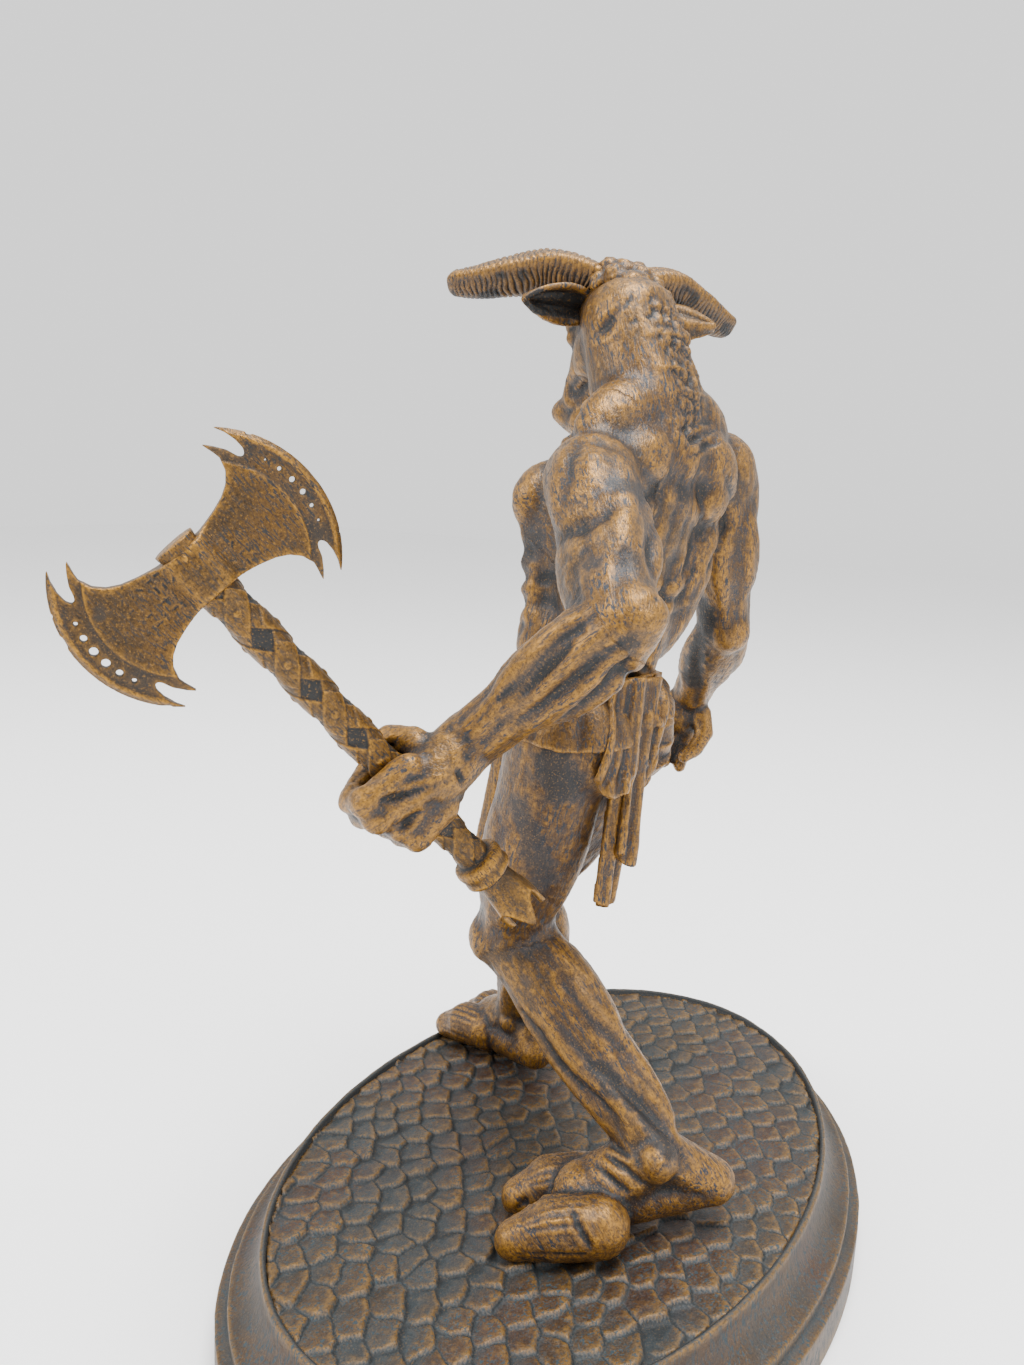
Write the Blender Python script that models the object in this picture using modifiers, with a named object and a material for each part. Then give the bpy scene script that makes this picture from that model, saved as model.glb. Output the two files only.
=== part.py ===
"""A cast minotaur statuette: the striding figure, the double axe in its fist, and an oval cobbled plinth.

The figure faces -Y with its left side towards +X. The origin is the middle of the plinth's underside.
The figure's pose and carving are shares of its own height. The plinth and the axe have their own sizes.
"""

import math

import bmesh
import bpy
from mathutils import Matrix, Vector, noise

MM = 0.001

# Driving dimensions of the plinth
PLINTH_LENGTH = 252.0 * MM
PLINTH_WIDTH = 174.0 * MM
PLINTH_HEIGHT = 28.8 * MM
STEP_HEIGHT = 12.8 * MM
STEP_LEDGE = 3.4 * MM
COVE_HEIGHT = 12.4 * MM
COVE_DEPTH = 8.2 * MM
RIM_WIDTH = 2.2 * MM
PAVING_DROP = 1.0 * MM
COBBLE_PITCH = 11.6 * MM
COBBLE_JOINT = 1.3 * MM
COBBLE_RISE = 0.9 * MM
COBBLE_TURN = math.radians(38.0)
COBBLE_SEED = 7
PAVING_SLAB = 1.0 * MM
PAVING_BED = 0.5 * MM
PAVING_LAP = 0.3 * MM
STEP_BEVEL = 1.0 * MM
FOOT_BEVEL = 0.8 * MM
RIM_BEVEL = 0.5 * MM
COVE_LIP = 2.0 * MM
PLINTH_SIDES = 48

# Driving dimensions of the figure
FIGURE_HEIGHT = 250.0 * MM
FOOT_GAP = 0.3 * MM
HEIGHT_PARTS = 250.0
PART = FIGURE_HEIGHT / HEIGHT_PARTS
FIGURE_VOXEL = 1.15
CREASE_FILL = 2.4
FIGURE_TRIANGLES = 4180
FIST_BORE_LENGTH = 60.0

# Driving dimensions of the axe
HAFT_DIAMETER = 9.8 * MM
HAFT_END_DIAMETER = 8.4 * MM
HAFT_LENGTH = 102.5 * MM
HAFT_NUB = 1.6 * MM
HAFT_RECESS = 0.7 * MM
HAFT_STUD = 0.5 * MM
HAFT_SIDES = 16
STRAP_REPEAT = 15.6 * MM
GRIP_FROM_HEAD = 69.7 * MM
GRIP_CLEARANCE = 0.3 * MM
COLLAR_LENGTH = 6.0 * MM
COLLAR_DIAMETER = 12.6 * MM
POMMEL_LENGTH = 9.0 * MM
POMMEL_DIAMETER = 13.0 * MM
PRONG_LENGTH = 7.0 * MM
BLADE_SPAN = 63.0 * MM
BLADE_LENGTH = 40.6 * MM
BLADE_WAIST = 12.2 * MM
BLADE_THICKNESS = 2.6 * MM
CHEEK_THICKNESS = 10.6 * MM
CHEEK_WIDTH = 11.0 * MM
CHEEK_SPAN = 27.0 * MM
EDGE_RADIUS = 26.7 * MM
HOLE_INSET = 3.9 * MM
HOLE_DIAMETER = 1.8 * MM
HOLE_COUNT = 6
HOLE_STEP = math.radians(8.6)

UP = Vector((0.0, 0.0, 1.0))


def clear_scene():
    for thing in list(bpy.data.objects):
        bpy.data.objects.remove(thing, do_unlink=True)


def new_collection(name):
    collection = bpy.data.collections.new(name)
    bpy.context.scene.collection.children.link(collection)
    return collection


def finish(name, colour, roughness, metallic):
    material = bpy.data.materials.new(name)
    material.use_nodes = True
    shader = material.node_tree.nodes["Principled BSDF"]
    shader.inputs["Base Color"].default_value = (*colour, 1.0)
    shader.inputs["Roughness"].default_value = roughness
    shader.inputs["Metallic"].default_value = metallic
    return material


def new_object(name, bm, collection, material=None):
    mesh = bpy.data.meshes.new(name)
    bm.to_mesh(mesh)
    bm.free()
    thing = bpy.data.objects.new(name, mesh)
    collection.objects.link(thing)
    if material:
        mesh.materials.append(material)
    return thing


def baked(thing):
    """Puts an object's evaluated mesh in place of its own and takes its modifiers off."""
    graph = bpy.context.evaluated_depsgraph_get()
    graph.update()
    mesh = bpy.data.meshes.new_from_object(thing.evaluated_get(graph))
    thing.modifiers.clear()
    thing.data = mesh
    return thing


def boolean(thing, other, operation, solver="EXACT"):
    modifier = thing.modifiers.new(operation.title(), "BOOLEAN")
    modifier.operation = operation
    modifier.object = other
    modifier.solver = solver
    baked(thing)
    bpy.data.objects.remove(other, do_unlink=True)


def face_outwards(thing):
    bm = bmesh.new()
    bm.from_mesh(thing.data)
    bmesh.ops.recalc_face_normals(bm, faces=bm.faces[:])
    if bm.calc_volume(signed=True) < 0.0:
        bmesh.ops.reverse_faces(bm, faces=bm.faces[:])
    bm.to_mesh(thing.data)
    bm.free()


def frame_along(axis, front):
    """A rotation whose Z is the axis and whose Y is the front, squared up to it."""
    z = axis.normalized()
    y = (front - z * front.dot(z)).normalized()
    x = y.cross(z)
    return Matrix((x, y, z)).transposed()


# Soft forms of the figure, in parts of its height

def add_form(bm, piece):
    """Adds a small mesh to a larger one and clears it."""
    mesh = bpy.data.meshes.new("form")
    piece.to_mesh(mesh)
    piece.free()
    bm.from_mesh(mesh)
    bpy.data.meshes.remove(mesh)


def ball(bm, centre, radii, turn=None):
    place = Matrix.Translation(centre)
    if turn:
        place = place @ turn.to_4x4()
    place = place @ Matrix.Diagonal((*radii, 1.0))
    piece = bmesh.new()
    bmesh.ops.create_uvsphere(piece, u_segments=20, v_segments=12, radius=1.0, matrix=place)
    add_form(bm, piece)


def capsule(bm, start, end, start_radius, end_radius):
    axis = end - start
    turn = axis.to_track_quat("Z", "Y").to_matrix().to_4x4()
    place = Matrix.Translation((start + end) / 2.0) @ turn
    piece = bmesh.new()
    bmesh.ops.create_cone(piece, cap_ends=True, segments=20, radius1=start_radius, radius2=end_radius,
                          depth=axis.length, matrix=place)
    add_form(bm, piece)
    ball(bm, start, (start_radius,) * 3)
    ball(bm, end, (end_radius,) * 3)


def chain(bm, stations):
    """A limb of capsules through (point, radius) stations."""
    for (start, start_radius), (end, end_radius) in zip(stations, stations[1:]):
        capsule(bm, start, end, start_radius, end_radius)


def muscle(bm, start, end, width, depth, front):
    """A spindle from one point to the other, so wide across and so deep along its front."""
    axis = end - start
    ball(bm, (start + end) / 2.0, (width, depth, axis.length / 2.0), frame_along(axis, front))


class Limb:
    """A straight limb with a front and a side, measured by a share along it and offsets from its axis."""

    def __init__(self, start, end, front):
        self.start = start
        self.end = end
        self.axis = (end - start).normalized()
        self.front = (front - self.axis * front.dot(self.axis)).normalized()
        self.side = self.front.cross(self.axis)

    def at(self, share, front=0.0, side=0.0):
        return self.start.lerp(self.end, share) + self.front * front + self.side * side

    def bulge(self, bm, first, last, front, side, deep, wide, front_end=None, side_end=None):
        """A spindle along the limb between two shares, at offsets that may change along it."""
        start = self.at(first, front, side)
        end = self.at(last, front if front_end is None else front_end,
                      side if side_end is None else side_end)
        muscle(bm, start, end, wide, deep, self.front)


# The pose: joints in parts of the figure's height, from the middle of the plinth's top

TORSO_TURN = math.radians(-13.0)
TORSO_LEFT = Vector((math.cos(TORSO_TURN), math.sin(TORSO_TURN), 0.0))
TORSO_FRONT = Vector((math.sin(TORSO_TURN), -math.cos(TORSO_TURN), 0.0))
SPINE = ((118.0, 8.5, 2.0), (139.0, 8.5, 1.5), (160.0, 8.5, 3.5), (190.0, 3.5, 8.0), (207.0, 0.5, 10.5),
         (226.0, -1.0, 9.0), (240.0, -5.0, 5.0))

LEFT_SHOULDER = Vector((33.0, 12.0, 204.0))
LEFT_ELBOW = Vector((68.0, 39.0, 174.0))
LEFT_WRIST = Vector((71.0, 3.0, 143.5))
RIGHT_SHOULDER = Vector((-34.5, 19.5, 209.0))
RIGHT_ELBOW = Vector((-49.5, 20.0, 160.0))
RIGHT_WRIST = Vector((-79.0, -1.0, 130.5))
LEFT_HIP = Vector((22.0, 2.0, 134.0))
LEFT_KNEE = Vector((14.5, -16.5, 68.0))
LEFT_ANKLE = Vector((23.0, 38.0, 22.0))
RIGHT_HIP = Vector((-7.0, 6.0, 135.0))
RIGHT_KNEE = Vector((-12.0, -27.0, 71.0))
RIGHT_ANKLE = Vector((-32.5, -38.5, 17.0))

HEAD = Vector((-10.5, -4.5, 249.0))
HEAD_TURN = math.radians(-42.0)
HEAD_BOW = math.radians(35.0)
HEAD_TILT = math.radians(3.5)
HEAD_SIDE = Vector((math.cos(HEAD_TURN), math.sin(HEAD_TURN), math.tan(HEAD_TILT))).normalized()
HEAD_LEVEL = Vector((math.sin(HEAD_TURN), -math.cos(HEAD_TURN), 0.0))
HEAD_FRONT = HEAD_LEVEL * math.cos(HEAD_BOW) - UP * math.sin(HEAD_BOW)
HEAD_UP = HEAD_FRONT.cross(HEAD_SIDE).normalized()

GRIP = Vector((80.0, -8.0, 131.5))
HAFT_AXIS = Vector((0.537, -0.413, 0.734)).normalized()
BLADE_ACROSS = Vector((-0.515, 0.529, 0.674))


def torso(left, front, up):
    """A point of the trunk, off the spine's line at its height."""
    low, high = next((a, b) for a, b in zip(SPINE, SPINE[1:]) if up <= b[0] or b is SPINE[-1])
    share = (up - low[0]) / (high[0] - low[0])
    middle = Vector((low[1], low[2], 0.0)).lerp(Vector((high[1], high[2], 0.0)), share)
    return middle + UP * up + TORSO_LEFT * left + TORSO_FRONT * front


TORSO_FRAME = Matrix((TORSO_LEFT, -TORSO_FRONT, UP)).transposed()


def trunk(bm):
    """Chest, belly and back, down to the waist."""
    ball(bm, torso(0, 4, 190), (26, 20.5, 30), TORSO_FRAME)
    ball(bm, torso(0, -1, 206), (31, 14, 13), TORSO_FRAME)
    ball(bm, torso(0, 3.5, 163), (18.5, 14, 24), TORSO_FRAME)
    back = -TORSO_FRONT
    for side in (-1, 1):
        ball(bm, torso(14 * side, 16, 198.5), (15, 9, 11.5), TORSO_FRAME)
        for row, front in ((184, 22.5), (173, 20.0), (162, 16.0)):
            ball(bm, torso(5.2 * side, front, row), (5.6, 3.6, 5.8), TORSO_FRAME)
        ball(bm, torso(15.0 * side, 4, 160), (6.5, 11, 13), TORSO_FRAME)
        for rib in range(4):
            centre = torso((21.5 - rib) * side, 12 - 1.5 * rib, 189 - 7.0 * rib)
            ball(bm, centre, (4.2, 6.0, 3.2), TORSO_FRAME)
        outward = TORSO_LEFT * side
        muscle(bm, torso(26 * side, -3, 206), torso(10 * side, -9, 154), 9, 11, outward + back)
        muscle(bm, torso(5.5 * side, -12.0, 206), torso(6 * side, -11.0, 142), 5.2, 5.5, back)
        muscle(bm, torso(7 * side, -14, 216), torso(27 * side, -10, 203), 8.5, 7, back)
        muscle(bm, torso(10 * side, -14.5, 197), torso(30 * side, -8, 207), 6, 5.5, back)
        muscle(bm, torso(2 * side, -8, 229), torso(30 * side, -4, 214), 9.5, 8.5, back + UP)
        muscle(bm, torso(3.5 * side, -12, 222), torso(3 * side, -14.5, 180), 6.5, 5, back)
        muscle(bm, torso(4 * side, 13, 211), torso(27 * side, 5, 214), 3.5, 3.5, TORSO_FRONT)


def pelvis(bm):
    """Hips and seat, up to the belt."""
    ball(bm, torso(0, -1, 139), (20, 15, 15), TORSO_FRAME)
    for side in (-1, 1):
        ball(bm, torso(4.5 * side, 11.0, 146), (6.5, 5, 8), TORSO_FRAME)
        ball(bm, torso(11 * side, -10, 133), (12, 11.5, 14), TORSO_FRAME)


def arm(bm, shoulder, elbow, wrist, trunk_side, size):
    upper = Limb(shoulder, elbow, wrist - elbow)
    lower = Limb(elbow, wrist, elbow - shoulder)
    chain(bm, ((shoulder, 11.5 * size), (upper.at(0.5), 9.5 * size), (elbow, 8.2 * size)))
    outward = (TORSO_LEFT * trunk_side + UP * 0.5).normalized()
    for swing in (-0.9, 0.0, 0.9):
        lift = outward + TORSO_FRONT * swing
        muscle(bm, shoulder + lift * 4.5 * size + UP * 6, upper.at(0.55) + lift * 3.0 * size,
               7.5 * size, 7.0 * size, lift)
    upper.bulge(bm, 0.18, 0.95, 5.5 * size, 0.0, 7.0 * size, 7.5 * size)
    upper.bulge(bm, 0.12, 0.85, -5.0 * size, 4.0 * size, 7.0 * size, 6.0 * size)
    upper.bulge(bm, 0.12, 0.8, -5.0 * size, -4.0 * size, 6.5 * size, 6.0 * size)
    ball(bm, elbow - upper.front * 3.5 * size, (6.8 * size,) * 3)
    chain(bm, ((elbow, 8.0 * size), (lower.at(0.3), 8.6 * size), (lower.at(0.75), 7.0 * size),
               (wrist, 6.6 * size)))
    lower.bulge(bm, -0.18, 0.62, -3.0 * size, 4.5 * size, 6.2 * size, 6.0 * size, -1.0)
    lower.bulge(bm, -0.12, 0.7, 3.5 * size, 3.5 * size, 5.5 * size, 5.0 * size)
    lower.bulge(bm, -0.1, 0.75, -1.0 * size, -5.0 * size, 5.8 * size, 5.0 * size)
    lower.bulge(bm, 0.1, 1.05, 1.5 * size, 4.0 * size, 4.0 * size, 3.0 * size, 1.0, 2.5 * size)
    lower.bulge(bm, 0.1, 1.05, 3.5 * size, -2.0 * size, 3.5 * size, 3.5 * size)


def finger(bm, points, radius, tip):
    count = len(points) - 1
    chain(bm, [(point, radius + (tip - radius) * step / count) for step, point in enumerate(points)])


def fist(bm):
    """The left hand closed round the haft, with its back up and outwards."""
    palm_back = BLADE_ACROSS.cross(HAFT_AXIS).normalized()
    reach = HAFT_AXIS.cross(palm_back)
    if reach.z > 0:
        reach = -reach
    turn = Matrix((palm_back, reach, HAFT_AXIS)).transposed()

    def hand(along, reaching, backward):
        return GRIP + HAFT_AXIS * along + reach * reaching + palm_back * backward

    for along, spread, longer in ((7.6, 0.6, 3.0), (3.0, 0.2, 3.6), (-2.9, -0.4, 1.0), (-7.4, -1.2, 0.0)):
        finger(bm, (hand(along - spread, -4, 7.5), hand(along, 5.0 + longer, 7.0),
                    hand(along, 8.5 + longer, 0.5), hand(along - 0.5, 5.5, -6.8),
                    hand(along - 1, -2.0, -7.8), hand(along - 1, -6.5, -4.0)),
               3.6, 2.8)
        ball(bm, hand(along, 5.5 + longer, 6.6), (4.2, 4.0, 3.9), turn)
    ball(bm, hand(0.5, -1, 6.5), (4.8, 8.5, 10.5), turn)
    ball(bm, hand(-1, -6.5, 3.0), (6.5, 6, 9.0), turn)
    finger(bm, (hand(3, -8.5, 3), hand(7.5, -8.5, -1.5), hand(10.5, -4.5, -6.5), hand(10, 2.0, -8.0)),
           4.0, 3.0)
    chain(bm, ((LEFT_WRIST, 7.4), (hand(0, -6, 4.5), 7.8)))


def claw(bm):
    """The right hand hanging open, its fingers hooked."""
    fore = (RIGHT_WRIST - RIGHT_ELBOW).normalized()
    reach = (fore + Vector((0.75, -0.35, -0.9))).normalized()
    palm = (Vector((0.75, 0.35, -0.1)) - reach * Vector((0.75, 0.35, -0.1)).dot(reach)).normalized()
    wide = palm.cross(reach).normalized()

    def hand(across, reaching, palmward):
        return RIGHT_WRIST + wide * across + reach * reaching + palm * palmward

    ball(bm, hand(0, 6.5, 1), (8.6, 4.6, 9.5), Matrix((wide, palm, reach)).transposed())
    for across, length in ((-6.8, 0.82), (-2.4, 0.95), (2.2, 1.0), (6.6, 0.92)):
        finger(bm, (hand(across * 0.85, 11, 0), hand(across * 1.15, 11 + 7 * length, 1),
                    hand(across * 1.3, 11 + 12 * length, 5.5),
                    hand(across * 1.3, 11 + 12 * length, 10.5 * length)),
               3.3, 2.1)
    finger(bm, (hand(6, 3, 3), hand(10.0, 7.5, 6.5), hand(9.5, 13, 10.5), hand(7, 16.5, 13.5)), 3.7, 2.3)


def leg(bm, hip, knee, ankle, facing, outward):
    thigh = Limb(hip, knee, facing)
    shin = Limb(knee, ankle, facing - UP * 0.2)
    if thigh.side.dot(outward) < 0:
        thigh.side = -thigh.side
    if shin.side.dot(outward) < 0:
        shin.side = -shin.side
    chain(bm, ((hip, 15.5), (thigh.at(0.45), 14.5), (thigh.at(0.8), 11.5), (knee, 10.5)))
    thigh.bulge(bm, 0.02, 0.92, 5.5, 1.0, 10.0, 10.5)
    thigh.bulge(bm, 0.08, 0.95, 1.0, 8.0, 9.5, 8.5, 4.0, 5.0)
    thigh.bulge(bm, 0.35, 1.0, 3.0, -6.0, 8.0, 7.5, 5.0, -4.5)
    thigh.bulge(bm, 0.0, 0.9, -6.5, 2.5, 9.5, 8.0, -4.0, 4.0)
    thigh.bulge(bm, 0.0, 0.8, -5.0, -5.0, 9.0, 8.5)
    ball(bm, thigh.at(1.0, 5.5), (8.0, 7.0, 8.5))
    chain(bm, ((knee, 10.0), (shin.at(0.3, -2.0), 10.5), (shin.at(0.65, 1.0), 7.8), (ankle, 7.6)))
    shin.bulge(bm, -0.05, 0.95, 4.5, 1.0, 6.0, 6.5)
    shin.bulge(bm, -0.02, 0.66, -7.0, 3.5, 8.2, 7.8)
    shin.bulge(bm, -0.02, 0.6, -6.5, -4.0, 8.2, 7.2)
    shin.bulge(bm, 0.15, 0.98, -7.0, 0.5, 5.2, 5.0, -8.5)
    shin.bulge(bm, 0.1, 0.98, 0.0, 5.0, 5.5, 4.5, 0.0, 4.5)


def hoof(bm, tip, heel, radius, height):
    """One toe of a cloven foot, from its heel to its blunt tip on the ground."""
    run = tip - heel
    front = heel + run * 0.93
    chain(bm, ((heel + UP * height * 0.55, radius * 1.02), (heel + run * 0.5 + UP * height * 0.5, radius),
               (front + UP * height * 0.24, radius * 0.66)))


def left_foot(bm):
    heel = Vector((12.5, 51.5, 12.5))
    capsule(bm, LEFT_ANKLE, heel, 7.5, 6.6)
    capsule(bm, heel, Vector((24.0, 34.0, 9.5)), 6.4, 8.5)
    capsule(bm, LEFT_ANKLE, Vector((30.0, 26.0, 10.5)), 8.2, 9.5)
    capsule(bm, Vector((24.0, 34.0, 10.0)), Vector((33.5, 22.0, 8.5)), 9.0, 9.5)
    ball(bm, LEFT_ANKLE + Vector((4.6, 2.4, 0.8)), (5.6, 5.6, 6.0))
    hoof(bm, Vector((55.0, 10.5, 0.0)), Vector((41.0, 30.5, 0.0)), 8.4, 13.0)
    hoof(bm, Vector((38.5, 2.5, 0.0)), Vector((25.5, 19.0, 0.0)), 8.0, 13.0)


def right_foot(bm):
    heel = Vector((-27.5, -28.5, 8.0))
    capsule(bm, RIGHT_ANKLE, heel, 7.2, 6.4)
    capsule(bm, heel, Vector((-33.0, -43.0, 7.5)), 6.4, 8.0)
    capsule(bm, RIGHT_ANKLE, Vector((-37.0, -50.0, 9.0)), 7.8, 9.0)
    ball(bm, RIGHT_ANKLE + Vector((4.4, 0.5, 0.0)), (5.2, 5.4, 5.6))
    hoof(bm, Vector((-33.0, -70.0, 0.0)), Vector((-32.0, -51.0, 0.0)), 7.4, 13.0)
    hoof(bm, Vector((-48.5, -67.0, 0.0)), Vector((-43.5, -50.0, 0.0)), 7.4, 13.0)


def head_point(side, front, up):
    return HEAD + HEAD_SIDE * side + HEAD_FRONT * front + HEAD_UP * up


HEAD_FRAME = Matrix((HEAD_SIDE, -HEAD_FRONT, HEAD_UP)).transposed()


def neck(bm):
    chain(bm, ((torso(0, -2, 214), 17.5), (torso(0, -3, 224), 15.8), (head_point(0, -7, -8), 13.6),
               (head_point(0, -2, -1), 11.8)))
    muscle(bm, torso(0, -8, 214), head_point(0, -12, 3), 11.0, 7.5, -TORSO_FRONT)


def bull_head(bm):
    ball(bm, head_point(0, 0, 0), (11.5, 13.5, 11.0), HEAD_FRAME)
    ball(bm, head_point(0, -3, 7.0), (6.0, 7.0, 5.5), HEAD_FRAME)
    ball(bm, head_point(0, 6, 5), (10.5, 9.0, 7.5), HEAD_FRAME)
    chain(bm, ((head_point(0, 4, -1), 11.0), (head_point(0, 20, -3.5), 8.4), (head_point(0, 33, -6.5), 7.6)))
    ball(bm, head_point(0, 35, -5.5), (9.0, 6.0, 6.5), HEAD_FRAME)
    ball(bm, head_point(0, 29, -12.5), (6.5, 8.0, 4.0), HEAD_FRAME)
    for side in (-1, 1):
        ball(bm, head_point(8.0 * side, 8, 5.5), (4.6, 5.5, 3.4), HEAD_FRAME)
        ball(bm, head_point(7.0 * side, 3, -8), (5.5, 11, 8), HEAD_FRAME)
        ball(bm, head_point(5.5 * side, 36.5, -4.5), (3.6, 3.6, 3.6), HEAD_FRAME)
        ball(bm, head_point(9.4 * side, 10.5, 1.6), (2.6, 3.0, 2.4), HEAD_FRAME)
        muscle(bm, head_point(8 * side, -1, 3.5), head_point(28 * side, -1, 1.0), 6.8, 3.0,
               HEAD_UP - HEAD_FRONT)
        chain(bm, [(head_point(out * side, front, rise), thick) for out, front, rise, thick in HORN])


HORN = ((2.0, -3.0, 6.0, 5.5), (9.0, -2.0, 11.5, 7.0), (19.0, 1.0, 15.5, 7.4), (29.0, 5.5, 16.0, 6.6),
        (38.0, 10.5, 16.8, 5.4), (45.5, 14.5, 18.6, 3.9))

# The loincloth: a thin wrap round the hips, with cloths that hang behind, in front and at each side

BELT_HEIGHT = 151.0
WRAP_ROWS = ((BELT_HEIGHT, -1.0, 2.6), (BELT_HEIGHT - 4.5, -0.6, 2.2), (BELT_HEIGHT - 8.5, -0.2, 2.0))
WRAP_TURNS = 20

# Each hanging cloth: its line along the belt, its hem, the number of its folds and their radius
REAR_PANEL = (((17, 17, 151), (7, 20, 151), (-3, 17.5, 151), (-8, 12, 151)),
              ((20, 13, 84), (15, 12, 82), (11, 12, 90), (8, 11, 97)), 5, 2.4)
LEFT_STRIP = (((21.5, 14.5, 152), (17.5, 17.5, 152), (12.5, 20, 152)),
              ((30, 14.5, 124.5), (27, 18.5, 122), (22, 21.5, 123)), 3, 2.6)
FRONT_FLAP = (((-4, -18, 151), (3, -19, 151), (12, -18.5, 151), (20, -15.5, 151)),
              ((-6, -26, 92), (2, -29, 88), (11, -29, 88), (19, -26, 92)), 5, 2.6)
RIGHT_STRIP = (((-14, 8, 152), (-14.5, 1, 152), (-12, -6, 152)),
               ((-23, 9, 122), (-24.5, 1, 120), (-21.5, -7, 122)), 3, 2.6)


def hip_ring(angle, height, outward):
    """A point round the hips, where an angle of 0 is the front and one under 0 the figure's left."""
    across = 20.5 + outward
    deep = 16.0 + outward
    return torso(-across * math.sin(angle), -1.0 + deep * math.cos(angle), height)


def along_line(points, share):
    place = share * (len(points) - 1)
    first = min(int(place), len(points) - 2)
    return Vector(points[first]).lerp(Vector(points[first + 1]), place - first)


def hanging_cloth(bm, belt_line, hem, folds, thick):
    for fold in range(folds):
        share = fold / (folds - 1)
        top = along_line(belt_line, share)
        low = along_line(hem, share)
        chain(bm, ((top, thick * 0.8), (top.lerp(low, 0.5), thick), (low, thick)))


def loincloth(bm):
    for height, outward, thick in WRAP_ROWS:
        angles = [2.0 * math.pi * step / WRAP_TURNS for step in range(WRAP_TURNS + 1)]
        chain(bm, [(hip_ring(angle, height, outward), thick) for angle in angles])
    for cloth in (REAR_PANEL, LEFT_STRIP, FRONT_FLAP, RIGHT_STRIP):
        hanging_cloth(bm, *cloth)


def modify(thing, kind, **settings):
    modifier = thing.modifiers.new(kind.title(), kind)
    for key, value in settings.items():
        setattr(modifier, key, value)


def fill_creases(thing):
    """Swells one closed skin over the forms and shrinks it again, to fill the narrow creases."""
    modify(thing, "REMESH", mode="VOXEL", voxel_size=FIGURE_VOXEL)
    modify(thing, "DISPLACE", strength=CREASE_FILL, mid_level=0.0)
    modify(thing, "REMESH", mode="VOXEL", voxel_size=FIGURE_VOXEL)
    modify(thing, "SMOOTH", factor=0.5, iterations=6)
    modify(thing, "DISPLACE", strength=-CREASE_FILL, mid_level=0.0)
    return baked(thing)


def figure(collection, cutters, material):
    bm = bmesh.new()
    trunk(bm)
    pelvis(bm)
    neck(bm)
    arm(bm, LEFT_SHOULDER, LEFT_ELBOW, LEFT_WRIST, 1, 1.08)
    arm(bm, RIGHT_SHOULDER, RIGHT_ELBOW, RIGHT_WRIST, -1, 1.0)
    leg(bm, LEFT_HIP, LEFT_KNEE, LEFT_ANKLE, Vector((0.5, -0.86, 0.0)), Vector((1, 0, 0)))
    leg(bm, RIGHT_HIP, RIGHT_KNEE, RIGHT_ANKLE, Vector((-0.2, -0.98, 0.0)), Vector((-1, 0, 0)))
    muscles = fill_creases(new_object("muscles", bm, cutters))

    bm = bmesh.new()
    bm.from_mesh(muscles.data)
    bpy.data.objects.remove(muscles, do_unlink=True)
    fist(bm)
    claw(bm)
    left_foot(bm)
    right_foot(bm)
    bull_head(bm)
    loincloth(bm)
    body = new_object("minotaur", bm, collection, material)
    modify(body, "REMESH", mode="VOXEL", voxel_size=FIGURE_VOXEL)
    modify(body, "SMOOTH", factor=0.5, iterations=3)
    baked(body)
    modify(body, "DECIMATE", ratio=FIGURE_TRIANGLES / (2.0 * len(body.data.polygons)))
    baked(body)

    bm = bmesh.new()
    bm.from_mesh(body.data)
    everything = bm.verts[:] + bm.edges[:] + bm.faces[:]
    cut = bmesh.ops.bisect_plane(bm, geom=everything, plane_co=(0, 0, 0), plane_no=UP, clear_inner=True)
    rims = [edge for edge in cut["geom_cut"] if isinstance(edge, bmesh.types.BMEdge)]
    bmesh.ops.holes_fill(bm, edges=rims, sides=0)
    lift = Matrix.Translation((0.0, 0.0, PLINTH_HEIGHT + FOOT_GAP))
    bmesh.ops.transform(bm, matrix=lift @ Matrix.Scale(PART, 4), verts=bm.verts[:])
    bmesh.ops.triangulate(bm, faces=bm.faces[:])
    bm.to_mesh(body.data)
    bm.free()

    bore = bmesh.new()
    radius = HAFT_DIAMETER / 2.0 + GRIP_CLEARANCE
    bmesh.ops.create_cone(bore, cap_ends=True, segments=HAFT_SIDES, radius1=radius, radius2=radius,
                          depth=FIST_BORE_LENGTH * PART, matrix=haft_place())
    boolean(body, new_object("fist_bore", bore, cutters), "DIFFERENCE")
    return body


def turned(name, profile, sides, collection, material=None):
    bm = bmesh.new()
    verts = [bm.verts.new((radius, 0.0, height)) for radius, height in profile]
    for pair in zip(verts, verts[1:]):
        bm.edges.new(pair)
    thing = new_object(name, bm, collection, material)
    screw = thing.modifiers.new("Turn", "SCREW")
    screw.steps = sides
    screw.render_steps = sides
    screw.use_merge_vertices = True
    screw.merge_threshold = 0.01 * MM
    return baked(thing)


# The plinth

def plinth_profile():
    """Insets from the outline and heights, from the underside up to the rim and in to the paving."""
    cove_foot = STEP_HEIGHT + (PLINTH_HEIGHT - STEP_HEIGHT - COVE_HEIGHT)
    profile = [(FOOT_BEVEL, 0.0), (0.0, FOOT_BEVEL), (0.0, STEP_HEIGHT - STEP_BEVEL),
               (STEP_BEVEL, STEP_HEIGHT), (STEP_LEDGE, STEP_HEIGHT), (STEP_LEDGE, cove_foot)]
    for step in (1, 2, 3):
        angle = step / 4.0 * math.pi / 2.0
        profile.append((STEP_LEDGE + COVE_DEPTH * math.sin(angle),
                        cove_foot + (COVE_HEIGHT - COVE_LIP) * (1.0 - math.cos(angle))))
    rim = STEP_LEDGE + COVE_DEPTH
    profile += [(rim, PLINTH_HEIGHT - COVE_LIP), (rim, PLINTH_HEIGHT - RIM_BEVEL),
                (rim + RIM_BEVEL, PLINTH_HEIGHT), (rim + RIM_WIDTH, PLINTH_HEIGHT),
                (rim + RIM_WIDTH, PLINTH_HEIGHT - PAVING_DROP - COBBLE_RISE - PAVING_BED)]
    return profile


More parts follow.
